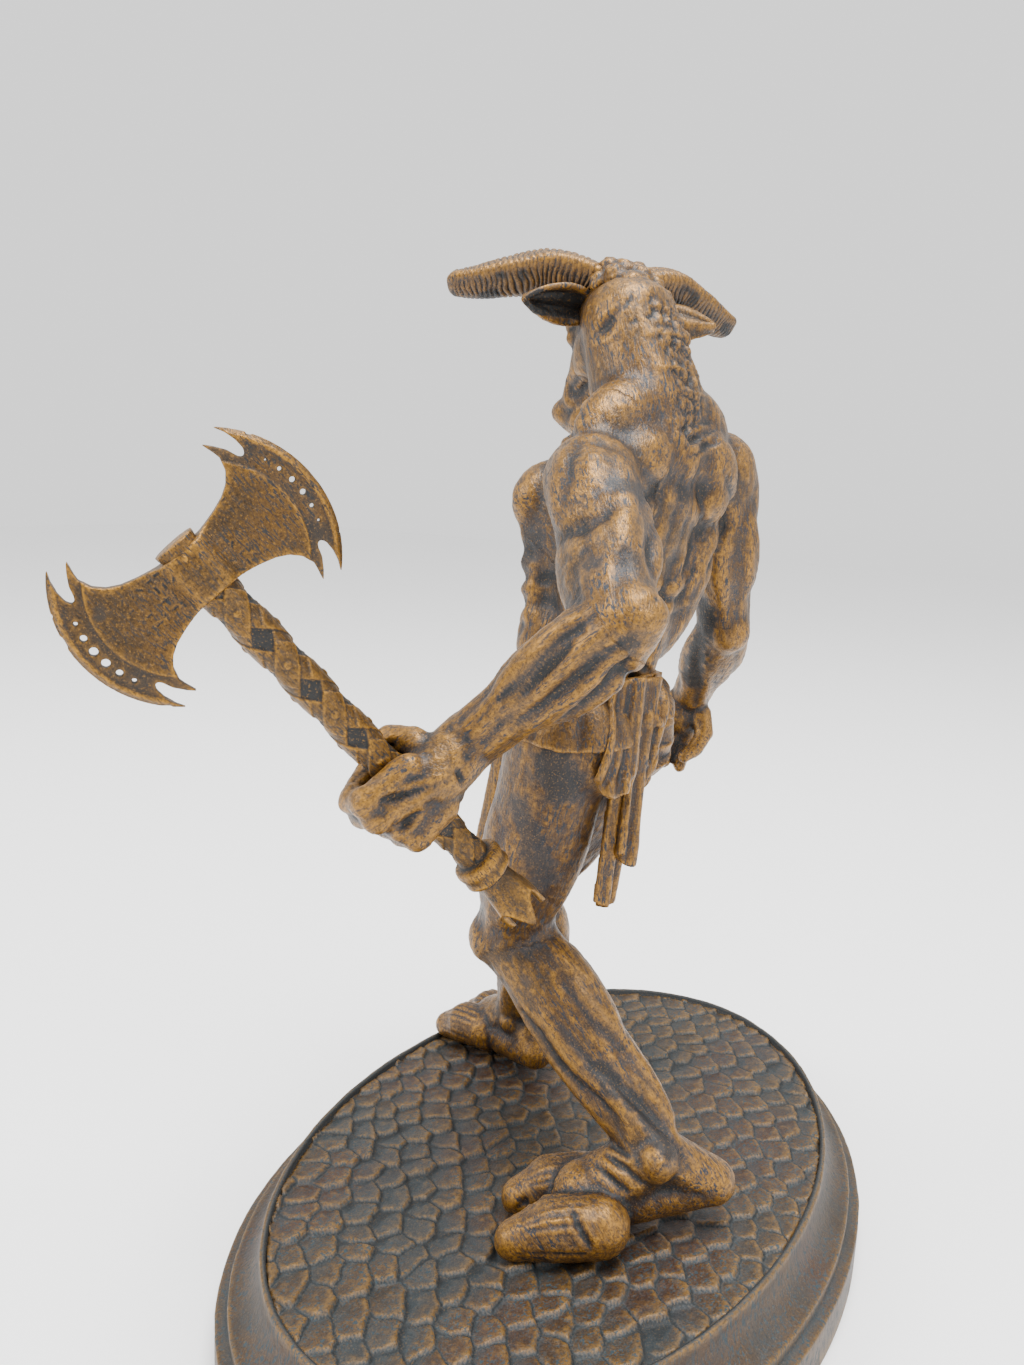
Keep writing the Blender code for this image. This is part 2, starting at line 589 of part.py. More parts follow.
def plinth(collection, cutters, material):
    half_length = PLINTH_LENGTH / 2.0
    half_width = PLINTH_WIDTH / 2.0
    rings = plinth_profile()
    profile = [(half_length - inset, height) for inset, height in reversed(rings)]
    profile = [(0.0, profile[0][1])] + profile + [(0.0, 0.0)]
    body = turned("plinth", profile, PLINTH_SIDES, collection, material)
    for vert in body.data.vertices:
        radius = math.hypot(vert.co.x, vert.co.y)
        if radius > 1.0 * MM:
            vert.co.y *= (radius - half_length + half_width) / radius

    inset = STEP_LEDGE + COVE_DEPTH + RIM_WIDTH
    half_length = PLINTH_LENGTH / 2.0 - inset + PAVING_LAP
    half_width = PLINTH_WIDTH / 2.0 - inset + PAVING_LAP
    floor = PLINTH_HEIGHT - PAVING_DROP - COBBLE_RISE
    cells = int(PLINTH_LENGTH / COBBLE_PITCH) + 2
    bm = bmesh.new()
    place = Matrix.Rotation(COBBLE_TURN, 4, "Z") @ Matrix.Translation((0.0, 0.0, floor))
    bmesh.ops.create_grid(bm, x_segments=cells, y_segments=cells, size=cells * COBBLE_PITCH / 2.0,
                          matrix=place)
    noise.seed_set(COBBLE_SEED)
    for vert in bm.verts:
        wander = noise.noise_vector(vert.co * (0.7 / COBBLE_PITCH)) * COBBLE_PITCH * 0.3
        vert.co += Vector((wander.x, wander.y, 0.0))
    bmesh.ops.inset_individual(bm, faces=bm.faces[:], thickness=COBBLE_JOINT / 2.0, depth=COBBLE_RISE)
    under = bmesh.ops.extrude_edge_only(bm, edges=[edge for edge in bm.edges if edge.is_boundary])
    skirt = [item for item in under["geom"] if isinstance(item, bmesh.types.BMVert)]
    for vert in skirt:
        vert.co.z = floor - 2.0 * PAVING_SLAB
    bmesh.ops.holes_fill(bm, edges=[edge for edge in bm.edges if edge.is_boundary], sides=0)
    bmesh.ops.recalc_face_normals(bm, faces=bm.faces[:])
    bmesh.ops.triangulate(bm, faces=bm.faces[:])
    paving = new_object("paving", bm, cutters)

    outline = bmesh.new()
    place = Matrix.Translation((0.0, 0.0, floor)) @ Matrix.Diagonal((half_length, half_width, 1.0, 1.0))
    bmesh.ops.create_cone(outline, cap_ends=True, segments=PLINTH_SIDES, radius1=1.0, radius2=1.0,
                          depth=2.0 * PAVING_SLAB, matrix=place)
    face_outwards(paving)
    boolean(paving, new_object("paving_outline", outline, cutters), "INTERSECT")
    boolean(body, paving, "UNION")
    return body


# The axe, built along +Z with its head's middle at the origin and then laid along the haft's line

def haft_frame():
    """Z runs up the haft to the head, X lies across the blades and Y is the blades' thickness."""
    across = BLADE_ACROSS - HAFT_AXIS * BLADE_ACROSS.dot(HAFT_AXIS)
    return frame_along(HAFT_AXIS, HAFT_AXIS.cross(across)).to_4x4()


def haft_place():
    centre = GRIP * PART + UP * (PLINTH_HEIGHT + FOOT_GAP)
    return Matrix.Translation(centre) @ haft_frame()


def haft_profile():
    """Radii and heights down the haft, with even rows so that the straps' diamonds fall on them."""
    top = BLADE_WAIST / 2.0 + HAFT_NUB
    foot = top - HAFT_LENGTH
    row = STRAP_REPEAT / 4.0
    rows = int(HAFT_LENGTH / row)
    profile = [(0.0, top), (HAFT_DIAMETER * 0.36, top)]
    for step in range(1, rows):
        share = step / rows
        radius = (HAFT_DIAMETER + (HAFT_END_DIAMETER - HAFT_DIAMETER) * share) / 2.0
        profile.append((radius, top - step * row))
    collar = COLLAR_DIAMETER / 2.0
    neck = HAFT_END_DIAMETER / 2.0
    flare = POMMEL_DIAMETER / 2.0
    profile += [(neck, foot), (collar, foot - 1.0 * MM), (collar, foot - COLLAR_LENGTH),
                (neck, foot - COLLAR_LENGTH - 1.0 * MM),
                (flare * 0.85, foot - COLLAR_LENGTH - POMMEL_LENGTH * 0.5),
                (flare, foot - COLLAR_LENGTH - POMMEL_LENGTH),
                (flare * 0.45, foot - COLLAR_LENGTH - POMMEL_LENGTH * 0.8),
                (0.0, foot - COLLAR_LENGTH - POMMEL_LENGTH * 0.75)]
    return profile


def carve_haft(haft):
    """Sinks the diamonds between the crossed straps, raises the studs and draws out the pommel's prongs."""
    top = BLADE_WAIST / 2.0 + HAFT_NUB
    foot = top - HAFT_LENGTH
    row = STRAP_REPEAT / 4.0
    for vert in haft.data.vertices:
        x, y, z = vert.co
        radius = math.hypot(x, y)
        if radius < 1.0 * MM:
            continue
        angle = math.atan2(y, x)
        if z < foot - COLLAR_LENGTH - POMMEL_LENGTH * 0.9:
            vert.co.z -= PRONG_LENGTH * (0.5 + 0.5 * math.cos(4.0 * angle))
        if not foot + row * 0.5 < z < -BLADE_WAIST / 2.0 - row * 0.5:
            continue
        column = round(angle / (2.0 * math.pi) * HAFT_SIDES) % HAFT_SIDES
        line = round((top - z) / row)
        across = (column + 2) % 4 - 2
        quarter = (column + 2) // 4
        along = (line + 2 * (quarter % 2)) % 4
        if along == 0 and abs(across) <= 1:
            grow = -HAFT_RECESS
        elif along == 2 and across == 0:
            grow = HAFT_STUD
        else:
            continue
        vert.co.x += grow * x / radius
        vert.co.y += grow * y / radius


def edge_arc(share):
    """A point of the cutting edge, where a share of 1 is its upper tip and -1 its lower tip."""
    reach = math.asin(BLADE_LENGTH / 2.0 / EDGE_RADIUS)
    middle = BLADE_SPAN / 2.0 - EDGE_RADIUS
    return middle + EDGE_RADIUS * math.cos(reach * share), EDGE_RADIUS * math.sin(reach * share)


def blade_quarter():
    """From the waist out along the inner prong and the notch to the outer prong and the edge's middle."""
    waist = BLADE_WAIST / 2.0
    tip = BLADE_LENGTH / 2.0
    reach = BLADE_SPAN / 2.0
    points = [(0.34 * reach, waist + 0.05 * tip), (0.48 * reach, waist + 0.12 * tip),
              (0.58 * reach, waist + 0.24 * tip), (0.62 * reach, waist + 0.40 * tip),
              (0.58 * reach, 0.93 * tip),
              (0.68 * reach, 0.74 * tip), (0.715 * reach, 0.60 * tip), (0.77 * reach, 0.62 * tip),
              (0.775 * reach, 0.76 * tip)]
    points += [edge_arc(share) for share in (1.0, 0.85, 0.65, 0.45, 0.25, 0.08)]
    return points


def blade_outline():
    quarter = blade_quarter()
    half = quarter + [(x, -z) for x, z in reversed(quarter)]
    return half + [(-x, -z) for x, z in half]


def add_loop(curve, points):
    spline = curve.splines.new("POLY")
    spline.points.add(len(points) - 1)
    for point, (x, z) in zip(spline.points, points):
        point.co = (x, z, 0.0, 1.0)
    spline.use_cyclic_u = True


def curve_to_mesh(curve, name, collection):
    guide = bpy.data.objects.new(name + "_outline", curve)
    collection.objects.link(guide)
    graph = bpy.context.evaluated_depsgraph_get()
    graph.update()
    mesh = bpy.data.meshes.new_from_object(guide.evaluated_get(graph))
    bpy.data.objects.remove(guide, do_unlink=True)
    bm = bmesh.new()
    bm.from_mesh(mesh)
    bmesh.ops.remove_doubles(bm, verts=bm.verts[:], dist=0.01 * MM)
    bmesh.ops.transform(bm, matrix=Matrix.Rotation(math.pi / 2.0, 4, "X"), verts=bm.verts[:])
    bmesh.ops.recalc_face_normals(bm, faces=bm.faces[:])
    return new_object(name, bm, collection)


def blades(cutters):
    """The flat double bit with its row of holes behind each edge, lying in the X-Z plane."""
    curve = bpy.data.curves.new("blades", "CURVE")
    curve.dimensions = "2D"
    curve.fill_mode = "BOTH"
    curve.extrude = BLADE_THICKNESS / 2.0
    add_loop(curve, blade_outline())
    middle = BLADE_SPAN / 2.0 - EDGE_RADIUS
    for side in (-1, 1):
        for hole in range(HOLE_COUNT):
            angle = (hole - (HOLE_COUNT - 1) / 2.0) * HOLE_STEP
            x = side * (middle + (EDGE_RADIUS - HOLE_INSET) * math.cos(angle))
            z = (EDGE_RADIUS - HOLE_INSET) * math.sin(angle)
            turns = [math.pi / 3.0 * step for step in range(6)]
            radius = HOLE_DIAMETER / 2.0
            add_loop(curve, [(x + radius * math.cos(turn), z + radius * math.sin(turn)) for turn in turns])
    return curve_to_mesh(curve, "blade_plate", cutters)


def cheeks(cutters):
    """The thick eye of the head, which the haft enters from below, thinning towards the blades."""
    curve = bpy.data.curves.new("cheeks", "CURVE")
    curve.dimensions = "2D"
    curve.fill_mode = "BOTH"
    curve.extrude = BLADE_WAIST / 2.0 + 0.3 * MM
    thin = BLADE_THICKNESS / 2.0 - 0.3 * MM
    half = [(CHEEK_SPAN / 2.0, thin), (CHEEK_WIDTH / 2.0, CHEEK_THICKNESS / 2.0),
            (-CHEEK_WIDTH / 2.0, CHEEK_THICKNESS / 2.0), (-CHEEK_SPAN / 2.0, thin)]
    add_loop(curve, half + [(x, -y) for x, y in reversed(half)])
    eye = curve_to_mesh(curve, "cheeks", cutters)
    eye.data.transform(Matrix.Rotation(math.pi / 2.0, 4, "X"))
    return eye


def axe(collection, cutters, material):
    haft = turned("battle_axe", haft_profile(), HAFT_SIDES, collection, material)
    carve_haft(haft)
    boolean(haft, cheeks(cutters), "UNION")
    boolean(haft, blades(cutters), "UNION", "MANIFOLD")
    haft.data.transform(haft_place() @ Matrix.Translation((0.0, 0.0, GRIP_FROM_HEAD)))
    return haft


def main():
    clear_scene()
    statue = new_collection("minotaur_statue")
    cutters = new_collection("cutters")
    bronze = finish("bronze_paint", (0.36, 0.25, 0.12), 0.45, 0.7)
    gilt = finish("gilt_bronze_paint", (0.42, 0.29, 0.11), 0.4, 0.8)
    stone = finish("brown_stone_paint", (0.2, 0.14, 0.09), 0.6, 0.4)
    figure(statue, cutters, bronze)
    axe(statue, cutters, gilt)
    plinth(statue, cutters, stone)


main()
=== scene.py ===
"""The looks of the cast minotaur statuette: the painted figure, its double axe and the cobbled plinth."""

import itertools
import math

import bmesh
import bpy
import numpy as np
from mathutils import Matrix, Vector
from mathutils.bvhtree import BVHTree


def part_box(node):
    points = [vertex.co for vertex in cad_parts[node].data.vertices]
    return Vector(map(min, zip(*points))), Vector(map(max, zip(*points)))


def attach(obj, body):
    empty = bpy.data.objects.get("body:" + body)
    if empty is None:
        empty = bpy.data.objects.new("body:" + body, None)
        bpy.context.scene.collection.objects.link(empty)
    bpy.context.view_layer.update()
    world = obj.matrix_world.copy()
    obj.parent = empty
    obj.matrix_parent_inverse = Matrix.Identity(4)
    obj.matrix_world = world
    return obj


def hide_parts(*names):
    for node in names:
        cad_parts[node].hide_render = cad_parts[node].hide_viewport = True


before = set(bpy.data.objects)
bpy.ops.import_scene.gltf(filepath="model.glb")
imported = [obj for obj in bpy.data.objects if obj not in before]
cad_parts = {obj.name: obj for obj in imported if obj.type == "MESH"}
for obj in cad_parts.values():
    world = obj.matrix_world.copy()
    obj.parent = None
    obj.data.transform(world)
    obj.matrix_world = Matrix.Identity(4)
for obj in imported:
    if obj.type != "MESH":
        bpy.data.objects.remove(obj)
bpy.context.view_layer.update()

MM = 0.001
MERGE = 0.001
UP = Vector((0.0, 0.0, 1.0))

# The figure is worked in parts of its height, which are millimetres above the level of its soles
FOOT_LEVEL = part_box("minotaur")[0].z
PLINTH_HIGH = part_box("plinth")[1]

# The camera of the photograph, in millimetres from the middle of the plinth's underside
CAMERA_PLACE = Vector((283.7, 139.3, 235.2))
CAMERA_FORWARD = Vector((-0.8458, -0.4991, -0.1883))
CAMERA_RIGHT = Vector((-0.5146, 0.8564, 0.0416))
CAMERA_UP = Vector((-0.1405, -0.1321, 0.9812))
FOCAL_PIXELS = 1100.0
PICTURE_WIDTH = 1024.0
PICTURE_HEIGHT = 1365.0
SENSOR = 36.0


def set_camera():
    data = bpy.data.cameras.new("photo_view")
    data.sensor_fit = "VERTICAL"
    data.sensor_height = SENSOR
    data.lens = FOCAL_PIXELS / PICTURE_HEIGHT * SENSOR
    data.clip_start = 0.01
    camera = bpy.data.objects.new("photo_view", data)
    bpy.context.scene.collection.objects.link(camera)
    turn = Matrix((CAMERA_RIGHT, CAMERA_UP, -CAMERA_FORWARD)).transposed()
    camera.matrix_world = Matrix.Translation(CAMERA_PLACE * MM) @ turn.to_4x4()
    bpy.context.scene.camera = camera


set_camera()


# Small tools

def linear(code):
    """An sRGB hex code as linear red, green, blue and a full alpha."""
    parts = [int(code[at:at + 2], 16) / 255.0 for at in (1, 3, 5)]
    straight = [part / 12.92 if part <= 0.04045 else ((part + 0.055) / 1.055) ** 2.4 for part in parts]
    return (*straight, 1.0)


def smoothstep(low, high, values):
    share = np.clip((values - low) / (high - low), 0.0, 1.0)
    return share * share * (3.0 - 2.0 * share)


def scatter(cells, seed):
    """A repeatable number from 0 to 1 for each whole-number cell."""
    mixed = np.sin(cells @ np.array((127.1, 311.7, 74.7)) + seed * 19.19) * 43758.5453
    return mixed - np.floor(mixed)


def lumps(points, size, seed=0.0):
    """Smooth noise from -1 to 1 whose lumps are about so large."""
    spots = points / size
    base = np.floor(spots)
    share = spots - base
    share = share * share * (3.0 - 2.0 * share)
    total = np.zeros(len(points))
    for corner in itertools.product((0.0, 1.0), repeat=3):
        weight = np.prod(np.where(np.array(corner) > 0.5, share, 1.0 - share), axis=1)
        total += weight * scatter(base + corner, seed)
    return total * 2.0 - 1.0


def as_array(vectors):
    return np.array([tuple(vector) for vector in vectors])


def through(points, count):
    """A smooth curve of so many points through a few."""
    points = [Vector(point) for point in points]
    ends = [points[0] * 2.0 - points[1]] + points + [points[-1] * 2.0 - points[-2]]
    spans = len(points) - 1
    curve = []
    for step in range(count):
        place = step / (count - 1) * spans
        span = min(int(place), spans - 1)
        t = place - span
        a, b, c, d = ends[span:span + 4]
        curve.append(0.5 * ((2.0 * b) + (c - a) * t + (2.0 * a - 5.0 * b + 4.0 * c - d) * t * t
                            + (3.0 * b - a - 3.0 * c + d) * t ** 3))
    return curve


def new_mesh(name, bm):
    mesh = bpy.data.meshes.new(name)
    bm.to_mesh(mesh)
    bm.free()
    return mesh


def evaluated(data, *modifiers):
    """The mesh that a mesh or curve becomes under modifiers, each given as (type, settings)."""
    thing = bpy.data.objects.new("work", data)
    bpy.context.scene.collection.objects.link(thing)
    for kind, settings in modifiers:
        modifier = thing.modifiers.new(kind.title(), kind)
        for key, value in settings.items():
            setattr(modifier, key, value)
    graph = bpy.context.evaluated_depsgraph_get()
    graph.update()
    result = bpy.data.meshes.new_from_object(thing.evaluated_get(graph))
    bpy.data.objects.remove(thing, do_unlink=True)
    return result


class Skin:
    """A mesh as arrays, so that strokes can press and raise it along its normals."""

    def __init__(self, mesh):
        self.mesh = mesh
        count = len(mesh.vertices)
        # A dark layer per point: wash from strokes and hatching, and painted shade in the ear's hollow and
        # under the horns
        self.stain_and_shade = np.zeros(count)
        edges = np.empty(len(mesh.edges) * 2, np.int64)
        mesh.edges.foreach_get("vertices", edges)
        self.ends = edges.reshape(-1, 2)
        self.degree = np.bincount(self.ends.ravel(), minlength=count)
        points = np.empty(count * 3, np.float32)
        mesh.vertices.foreach_get("co", points)
        self.points = points.reshape(-1, 3).astype(float)
        self.renew()

    def renew(self):
        """Writes the points back and takes new normals from the faces."""
        self.mesh.vertices.foreach_set("co", self.points.astype(np.float32).ravel())
        self.mesh.update()
        normals = np.empty(self.points.size, np.float32)
        self.mesh.vertices.foreach_get("normal", normals)
        self.normals = normals.reshape(-1, 3).astype(float)
        bm = bmesh.new()
        bm.from_mesh(self.mesh)
        self.tree = BVHTree.FromBMesh(bm)
        bm.free()

    def relaxed(self, values, rounds):
        """Values averaged with their neighbours' so many times."""
        first, second = self.ends.T
        count = len(self.points)
        degree = np.maximum(self.degree, 1)
        table = np.array(values, float).reshape(count, -1)
        for _ in range(rounds):
            for column in range(table.shape[1]):
                line = table[:, column]
                near = np.bincount(first, line[second], count) + np.bincount(second, line[first], count)
                table[:, column] = 0.5 * line + 0.5 * near / degree
        return table.reshape(np.shape(values))

    def lift(self, amounts):
        self.points += self.normals * amounts[:, None]

    def on_skin(self, points):
        """The nearest places on the skin, with their normals."""
        found = [self.tree.find_nearest(Vector(point)) for point in points]
        return as_array(hit[0] for hit in found), as_array(hit[1] for hit in found)

    def seen(self, pixels):
        """Where the photograph's pixels fall on the skin; those that miss it are dropped."""
        eye = CAMERA_PLACE - UP * FOOT_LEVEL / MM
        hits = []
        for across, down in pixels:
            ray = (CAMERA_FORWARD * FOCAL_PIXELS + CAMERA_RIGHT * (across - PICTURE_WIDTH / 2.0)
                   - CAMERA_UP * (down - PICTURE_HEIGHT / 2.0)).normalized()
            hit = self.tree.ray_cast(eye, ray)[0]
            if hit:
                hits.append(hit)
        return hits

    def reach(self, route, width):
        """Vertices within a width of a route on the skin: their numbers, distances and shares along it."""
        spots, facing = self.on_skin(route)
        low = spots.min(0) - width
        high = spots.max(0) + width
        near = np.where(np.all((self.points > low) & (self.points < high), axis=1))[0]
        gaps = np.linalg.norm(self.points[near, None, :] - spots[None, :, :], axis=2)
        best = gaps.argmin(1)
        gap = gaps[np.arange(len(near)), best]
        same_side = np.einsum("ij,ij->i", self.normals[near], facing[best]) > 0.1
        keep = (gap < width) & same_side
        return near[keep], gap[keep], best[keep] / max(len(spots) - 1, 1)

    def stroke(self, points, width, height, lip=0.0, stain_and_shade=0.0, blunt=0.4):
        """Raises a ridge (height over 0) or presses a groove through a few points, fading at its ends."""
        if len(points) < 2:
            return
        span = sum((Vector(b) - Vector(a)).length for a, b in zip(points, points[1:]))
        route = through(points, max(int(span / (width * 0.35)), 4))
        near, gap, share = self.reach(route, width * 2.0)
        if not len(near):
            return
        fade = np.sin(math.pi * np.clip(share, 0.02, 0.98)) ** blunt
        ratio = gap / (width * (0.55 + 0.45 * fade))
        form = np.where(ratio < 1.0, (1.0 - np.minimum(ratio, 1.0) ** 2) ** 2, 0.0)
        rim = np.where((ratio > 1.0) & (ratio < 2.0), np.sin(math.pi * (np.clip(ratio, 1.0, 2.0) - 1.0)), 0.0)
        amount = height * fade * (form - lip * rim)
        self.points[near] += self.normals[near] * amount[:, None]
        if stain_and_shade:
            self.stain_and_shade[near] = np.maximum(self.stain_and_shade[near], stain_and_shade * form * fade)

    def wash(self, points, radius, strength):
        """Settles dark wash round a few points, ragged at its edge."""
        if not points:
            return
        route = through(points, 4 * len(points)) if len(points) > 1 else points
        near, gap, _ = self.reach(route, radius * 1.6)
        spots = self.points[near]
        ragged = 1.0 + 0.4 * lumps(spots, radius * 0.45, 5.0) + 0.45 * lumps(spots, 1.3, 6.0)
        amount = strength * (1.0 - smoothstep(0.45, 1.0, gap / (radius * ragged)))
        self.stain_and_shade[near] = np.maximum(self.stain_and_shade[near], amount)

    def hollows(self, fine=4, broad=40):
        """How far each point lies in a hollow (over 0) or on a ridge (under 0), at two scales."""
        near = self.relaxed(self.points, fine)
        small = np.einsum("ij,ij->i", near - self.points, self.normals)
        wide = np.einsum("ij,ij->i", self.relaxed(near, broad) - self.points, self.normals)
        return small, wide


def attribute(mesh, name, values, kind="FLOAT"):
    layer = mesh.attributes.new(name, kind, "POINT")
    field = "vector" if kind == "FLOAT_VECTOR" else "value"
    layer.data.foreach_set(field, np.ascontiguousarray(values, np.float32).ravel())


def place_piece(name, mesh, material, node):
    """Links a finished mesh as a piece that stands for a node of the frame."""
    piece = bpy.data.objects.new(name, mesh)
    bpy.context.scene.collection.objects.link(piece)
    mesh.materials.clear()
    mesh.materials.append(material)
    mesh.shade_smooth()
    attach(piece, "root")
    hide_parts(node)
    return piece


# Soft forms, as the solids have them

def frame_along(axis, front):
    """A rotation whose Z is the axis and whose Y is the front, squared up to it."""
    z = axis.normalized()
    y = (front - z * front.dot(z)).normalized()
    x = y.cross(z)
    return Matrix((x, y, z)).transposed()


def add_form(bm, piece):
    mesh = new_mesh("form", piece)
    bm.from_mesh(mesh)
    bpy.data.meshes.remove(mesh)


def ball(bm, centre, radii, turn=None):
    place = Matrix.Translation(centre)
    if turn:
        place = place @ turn.to_4x4()
    place = place @ Matrix.Diagonal((*radii, 1.0))
    piece = bmesh.new()
    bmesh.ops.create_uvsphere(piece, u_segments=32, v_segments=20, radius=1.0, matrix=place)
    add_form(bm, piece)


def capsule(bm, start, end, start_radius, end_radius):
    axis = end - start
    turn = axis.to_track_quat("Z", "Y").to_matrix().to_4x4()
    place = Matrix.Translation((start + end) / 2.0) @ turn
    piece = bmesh.new()
    bmesh.ops.create_cone(piece, cap_ends=True, segments=32, radius1=start_radius, radius2=end_radius,
                          depth=axis.length, matrix=place)
    add_form(bm, piece)
    ball(bm, start, (start_radius,) * 3)
    ball(bm, end, (end_radius,) * 3)


def chain(bm, stations):
    """A limb of capsules through (point, radius) stations."""
    for (start, start_radius), (end, end_radius) in zip(stations, stations[1:]):
        capsule(bm, start, end, start_radius, end_radius)


def muscle(bm, start, end, width, depth, front):
    """A spindle from one point to the other, so wide across and so deep along its front."""
    axis = end - start
    ball(bm, (start + end) / 2.0, (width, depth, axis.length / 2.0), frame_along(axis, front))


class Limb:
    """A straight limb with a front and a side, measured by a share along it and offsets from its axis."""

    def __init__(self, start, end, front):
        self.start = start
        self.end = end
        self.axis = (end - start).normalized()
        self.front = (front - self.axis * front.dot(self.axis)).normalized()
        self.side = self.front.cross(self.axis)

    def at(self, share, front=0.0, side=0.0):
        return self.start.lerp(self.end, share) + self.front * front + self.side * side

    def bulge(self, bm, first, last, front, side, deep, wide, front_end=None, side_end=None):
        """A spindle along the limb between two shares, at offsets that may change along it."""
        start = self.at(first, front, side)
        end = self.at(last, front if front_end is None else front_end,
                      side if side_end is None else side_end)
        muscle(bm, start, end, wide, deep, self.front)


# The pose

TORSO_TURN = math.radians(-13.0)
TORSO_LEFT = Vector((math.cos(TORSO_TURN), math.sin(TORSO_TURN), 0.0))
TORSO_FRONT = Vector((math.sin(TORSO_TURN), -math.cos(TORSO_TURN), 0.0))
SPINE = ((118.0, 8.5, 2.0), (139.0, 8.5, 1.5), (160.0, 8.5, 3.5), (190.0, 3.5, 8.0), (207.0, 0.5, 10.5),
         (226.0, -1.0, 9.0), (240.0, -5.0, 5.0))

LEFT_SHOULDER = Vector((33.0, 12.0, 204.0))
LEFT_ELBOW = Vector((68.0, 39.0, 174.0))
LEFT_WRIST = Vector((71.0, 3.0, 143.5))
RIGHT_SHOULDER = Vector((-34.5, 19.5, 209.0))
RIGHT_ELBOW = Vector((-49.5, 20.0, 160.0))
RIGHT_WRIST = Vector((-79.0, -1.0, 130.5))
LEFT_HIP = Vector((22.0, 2.0, 134.0))
LEFT_KNEE = Vector((14.5, -16.5, 68.0))
LEFT_ANKLE = Vector((23.0, 38.0, 22.0))
RIGHT_HIP = Vector((-7.0, 6.0, 135.0))
RIGHT_KNEE = Vector((-12.0, -27.0, 71.0))
RIGHT_ANKLE = Vector((-32.5, -38.5, 17.0))

HEAD = Vector((-10.5, -4.5, 249.0))
HEAD_TURN = math.radians(-42.0)
HEAD_BOW = math.radians(35.0)
HEAD_TILT = math.radians(3.5)
HEAD_SIDE = Vector((math.cos(HEAD_TURN), math.sin(HEAD_TURN), math.tan(HEAD_TILT))).normalized()
HEAD_LEVEL = Vector((math.sin(HEAD_TURN), -math.cos(HEAD_TURN), 0.0))
HEAD_FRONT = HEAD_LEVEL * math.cos(HEAD_BOW) - UP * math.sin(HEAD_BOW)
HEAD_UP = HEAD_FRONT.cross(HEAD_SIDE).normalized()

GRIP = Vector((80.0, -8.0, 131.5))
HAFT_AXIS = Vector((0.537, -0.413, 0.734)).normalized()
BLADE_ACROSS = Vector((-0.515, 0.529, 0.674))


def torso(left, front, up):
    """A point of the trunk, off the spine's line at its height."""
    low, high = next((a, b) for a, b in zip(SPINE, SPINE[1:]) if up <= b[0] or b is SPINE[-1])
    share = (up - low[0]) / (high[0] - low[0])
    middle = Vector((low[1], low[2], 0.0)).lerp(Vector((high[1], high[2], 0.0)), share)
    return middle + UP * up + TORSO_LEFT * left + TORSO_FRONT * front


TORSO_FRAME = Matrix((TORSO_LEFT, -TORSO_FRONT, UP)).transposed()


def trunk(bm):
    """Chest, belly and back, down to the waist."""
    ball(bm, torso(0, 4, 190), (26, 20.5, 30), TORSO_FRAME)
    ball(bm, torso(0, -1, 206), (31, 14, 13), TORSO_FRAME)
    ball(bm, torso(0, 3.5, 163), (18.5, 14, 24), TORSO_FRAME)
    back = -TORSO_FRONT
    for side in (-1, 1):
        ball(bm, torso(14 * side, 16, 198.5), (15, 9, 11.5), TORSO_FRAME)
        for row, front in ((184, 22.5), (173, 20.0), (162, 16.0)):
            ball(bm, torso(5.2 * side, front, row), (5.6, 3.6, 5.8), TORSO_FRAME)
        ball(bm, torso(15.0 * side, 4, 160), (6.5, 11, 13), TORSO_FRAME)
        for rib in range(4):
            place = torso((21.5 - rib) * side, 12 - 1.5 * rib, 189 - 7.0 * rib)
            ball(bm, place, (4.2, 6.0, 3.2), TORSO_FRAME)
        outward = TORSO_LEFT * side
        muscle(bm, torso(26 * side, -3, 206), torso(10 * side, -9, 154), 9, 11, outward + back)
        muscle(bm, torso(5.5 * side, -12.0, 206), torso(6 * side, -11.0, 142), 5.2, 5.5, back)
        muscle(bm, torso(7 * side, -14, 216), torso(27 * side, -10, 203), 8.5, 7, back)
        muscle(bm, torso(10 * side, -14.5, 197), torso(30 * side, -8, 207), 6, 5.5, back)
        muscle(bm, torso(2 * side, -8, 229), torso(30 * side, -4, 214), 9.5, 8.5, back + UP)
        muscle(bm, torso(3.5 * side, -12, 222), torso(3 * side, -14.5, 180), 6.5, 5, back)
        muscle(bm, torso(4 * side, 13, 211), torso(27 * side, 5, 214), 3.5, 3.5, TORSO_FRONT)


def pelvis(bm):
    """Hips and seat, up to the belt."""
    ball(bm, torso(0, -1, 139), (20, 15, 15), TORSO_FRAME)
    for side in (-1, 1):
        ball(bm, torso(4.5 * side, 11.0, 146), (6.5, 5, 8), TORSO_FRAME)
        ball(bm, torso(11 * side, -10, 133), (12, 11.5, 14), TORSO_FRAME)


def arm_limbs(shoulder, elbow, wrist):
    return Limb(shoulder, elbow, wrist - elbow), Limb(elbow, wrist, elbow - shoulder)


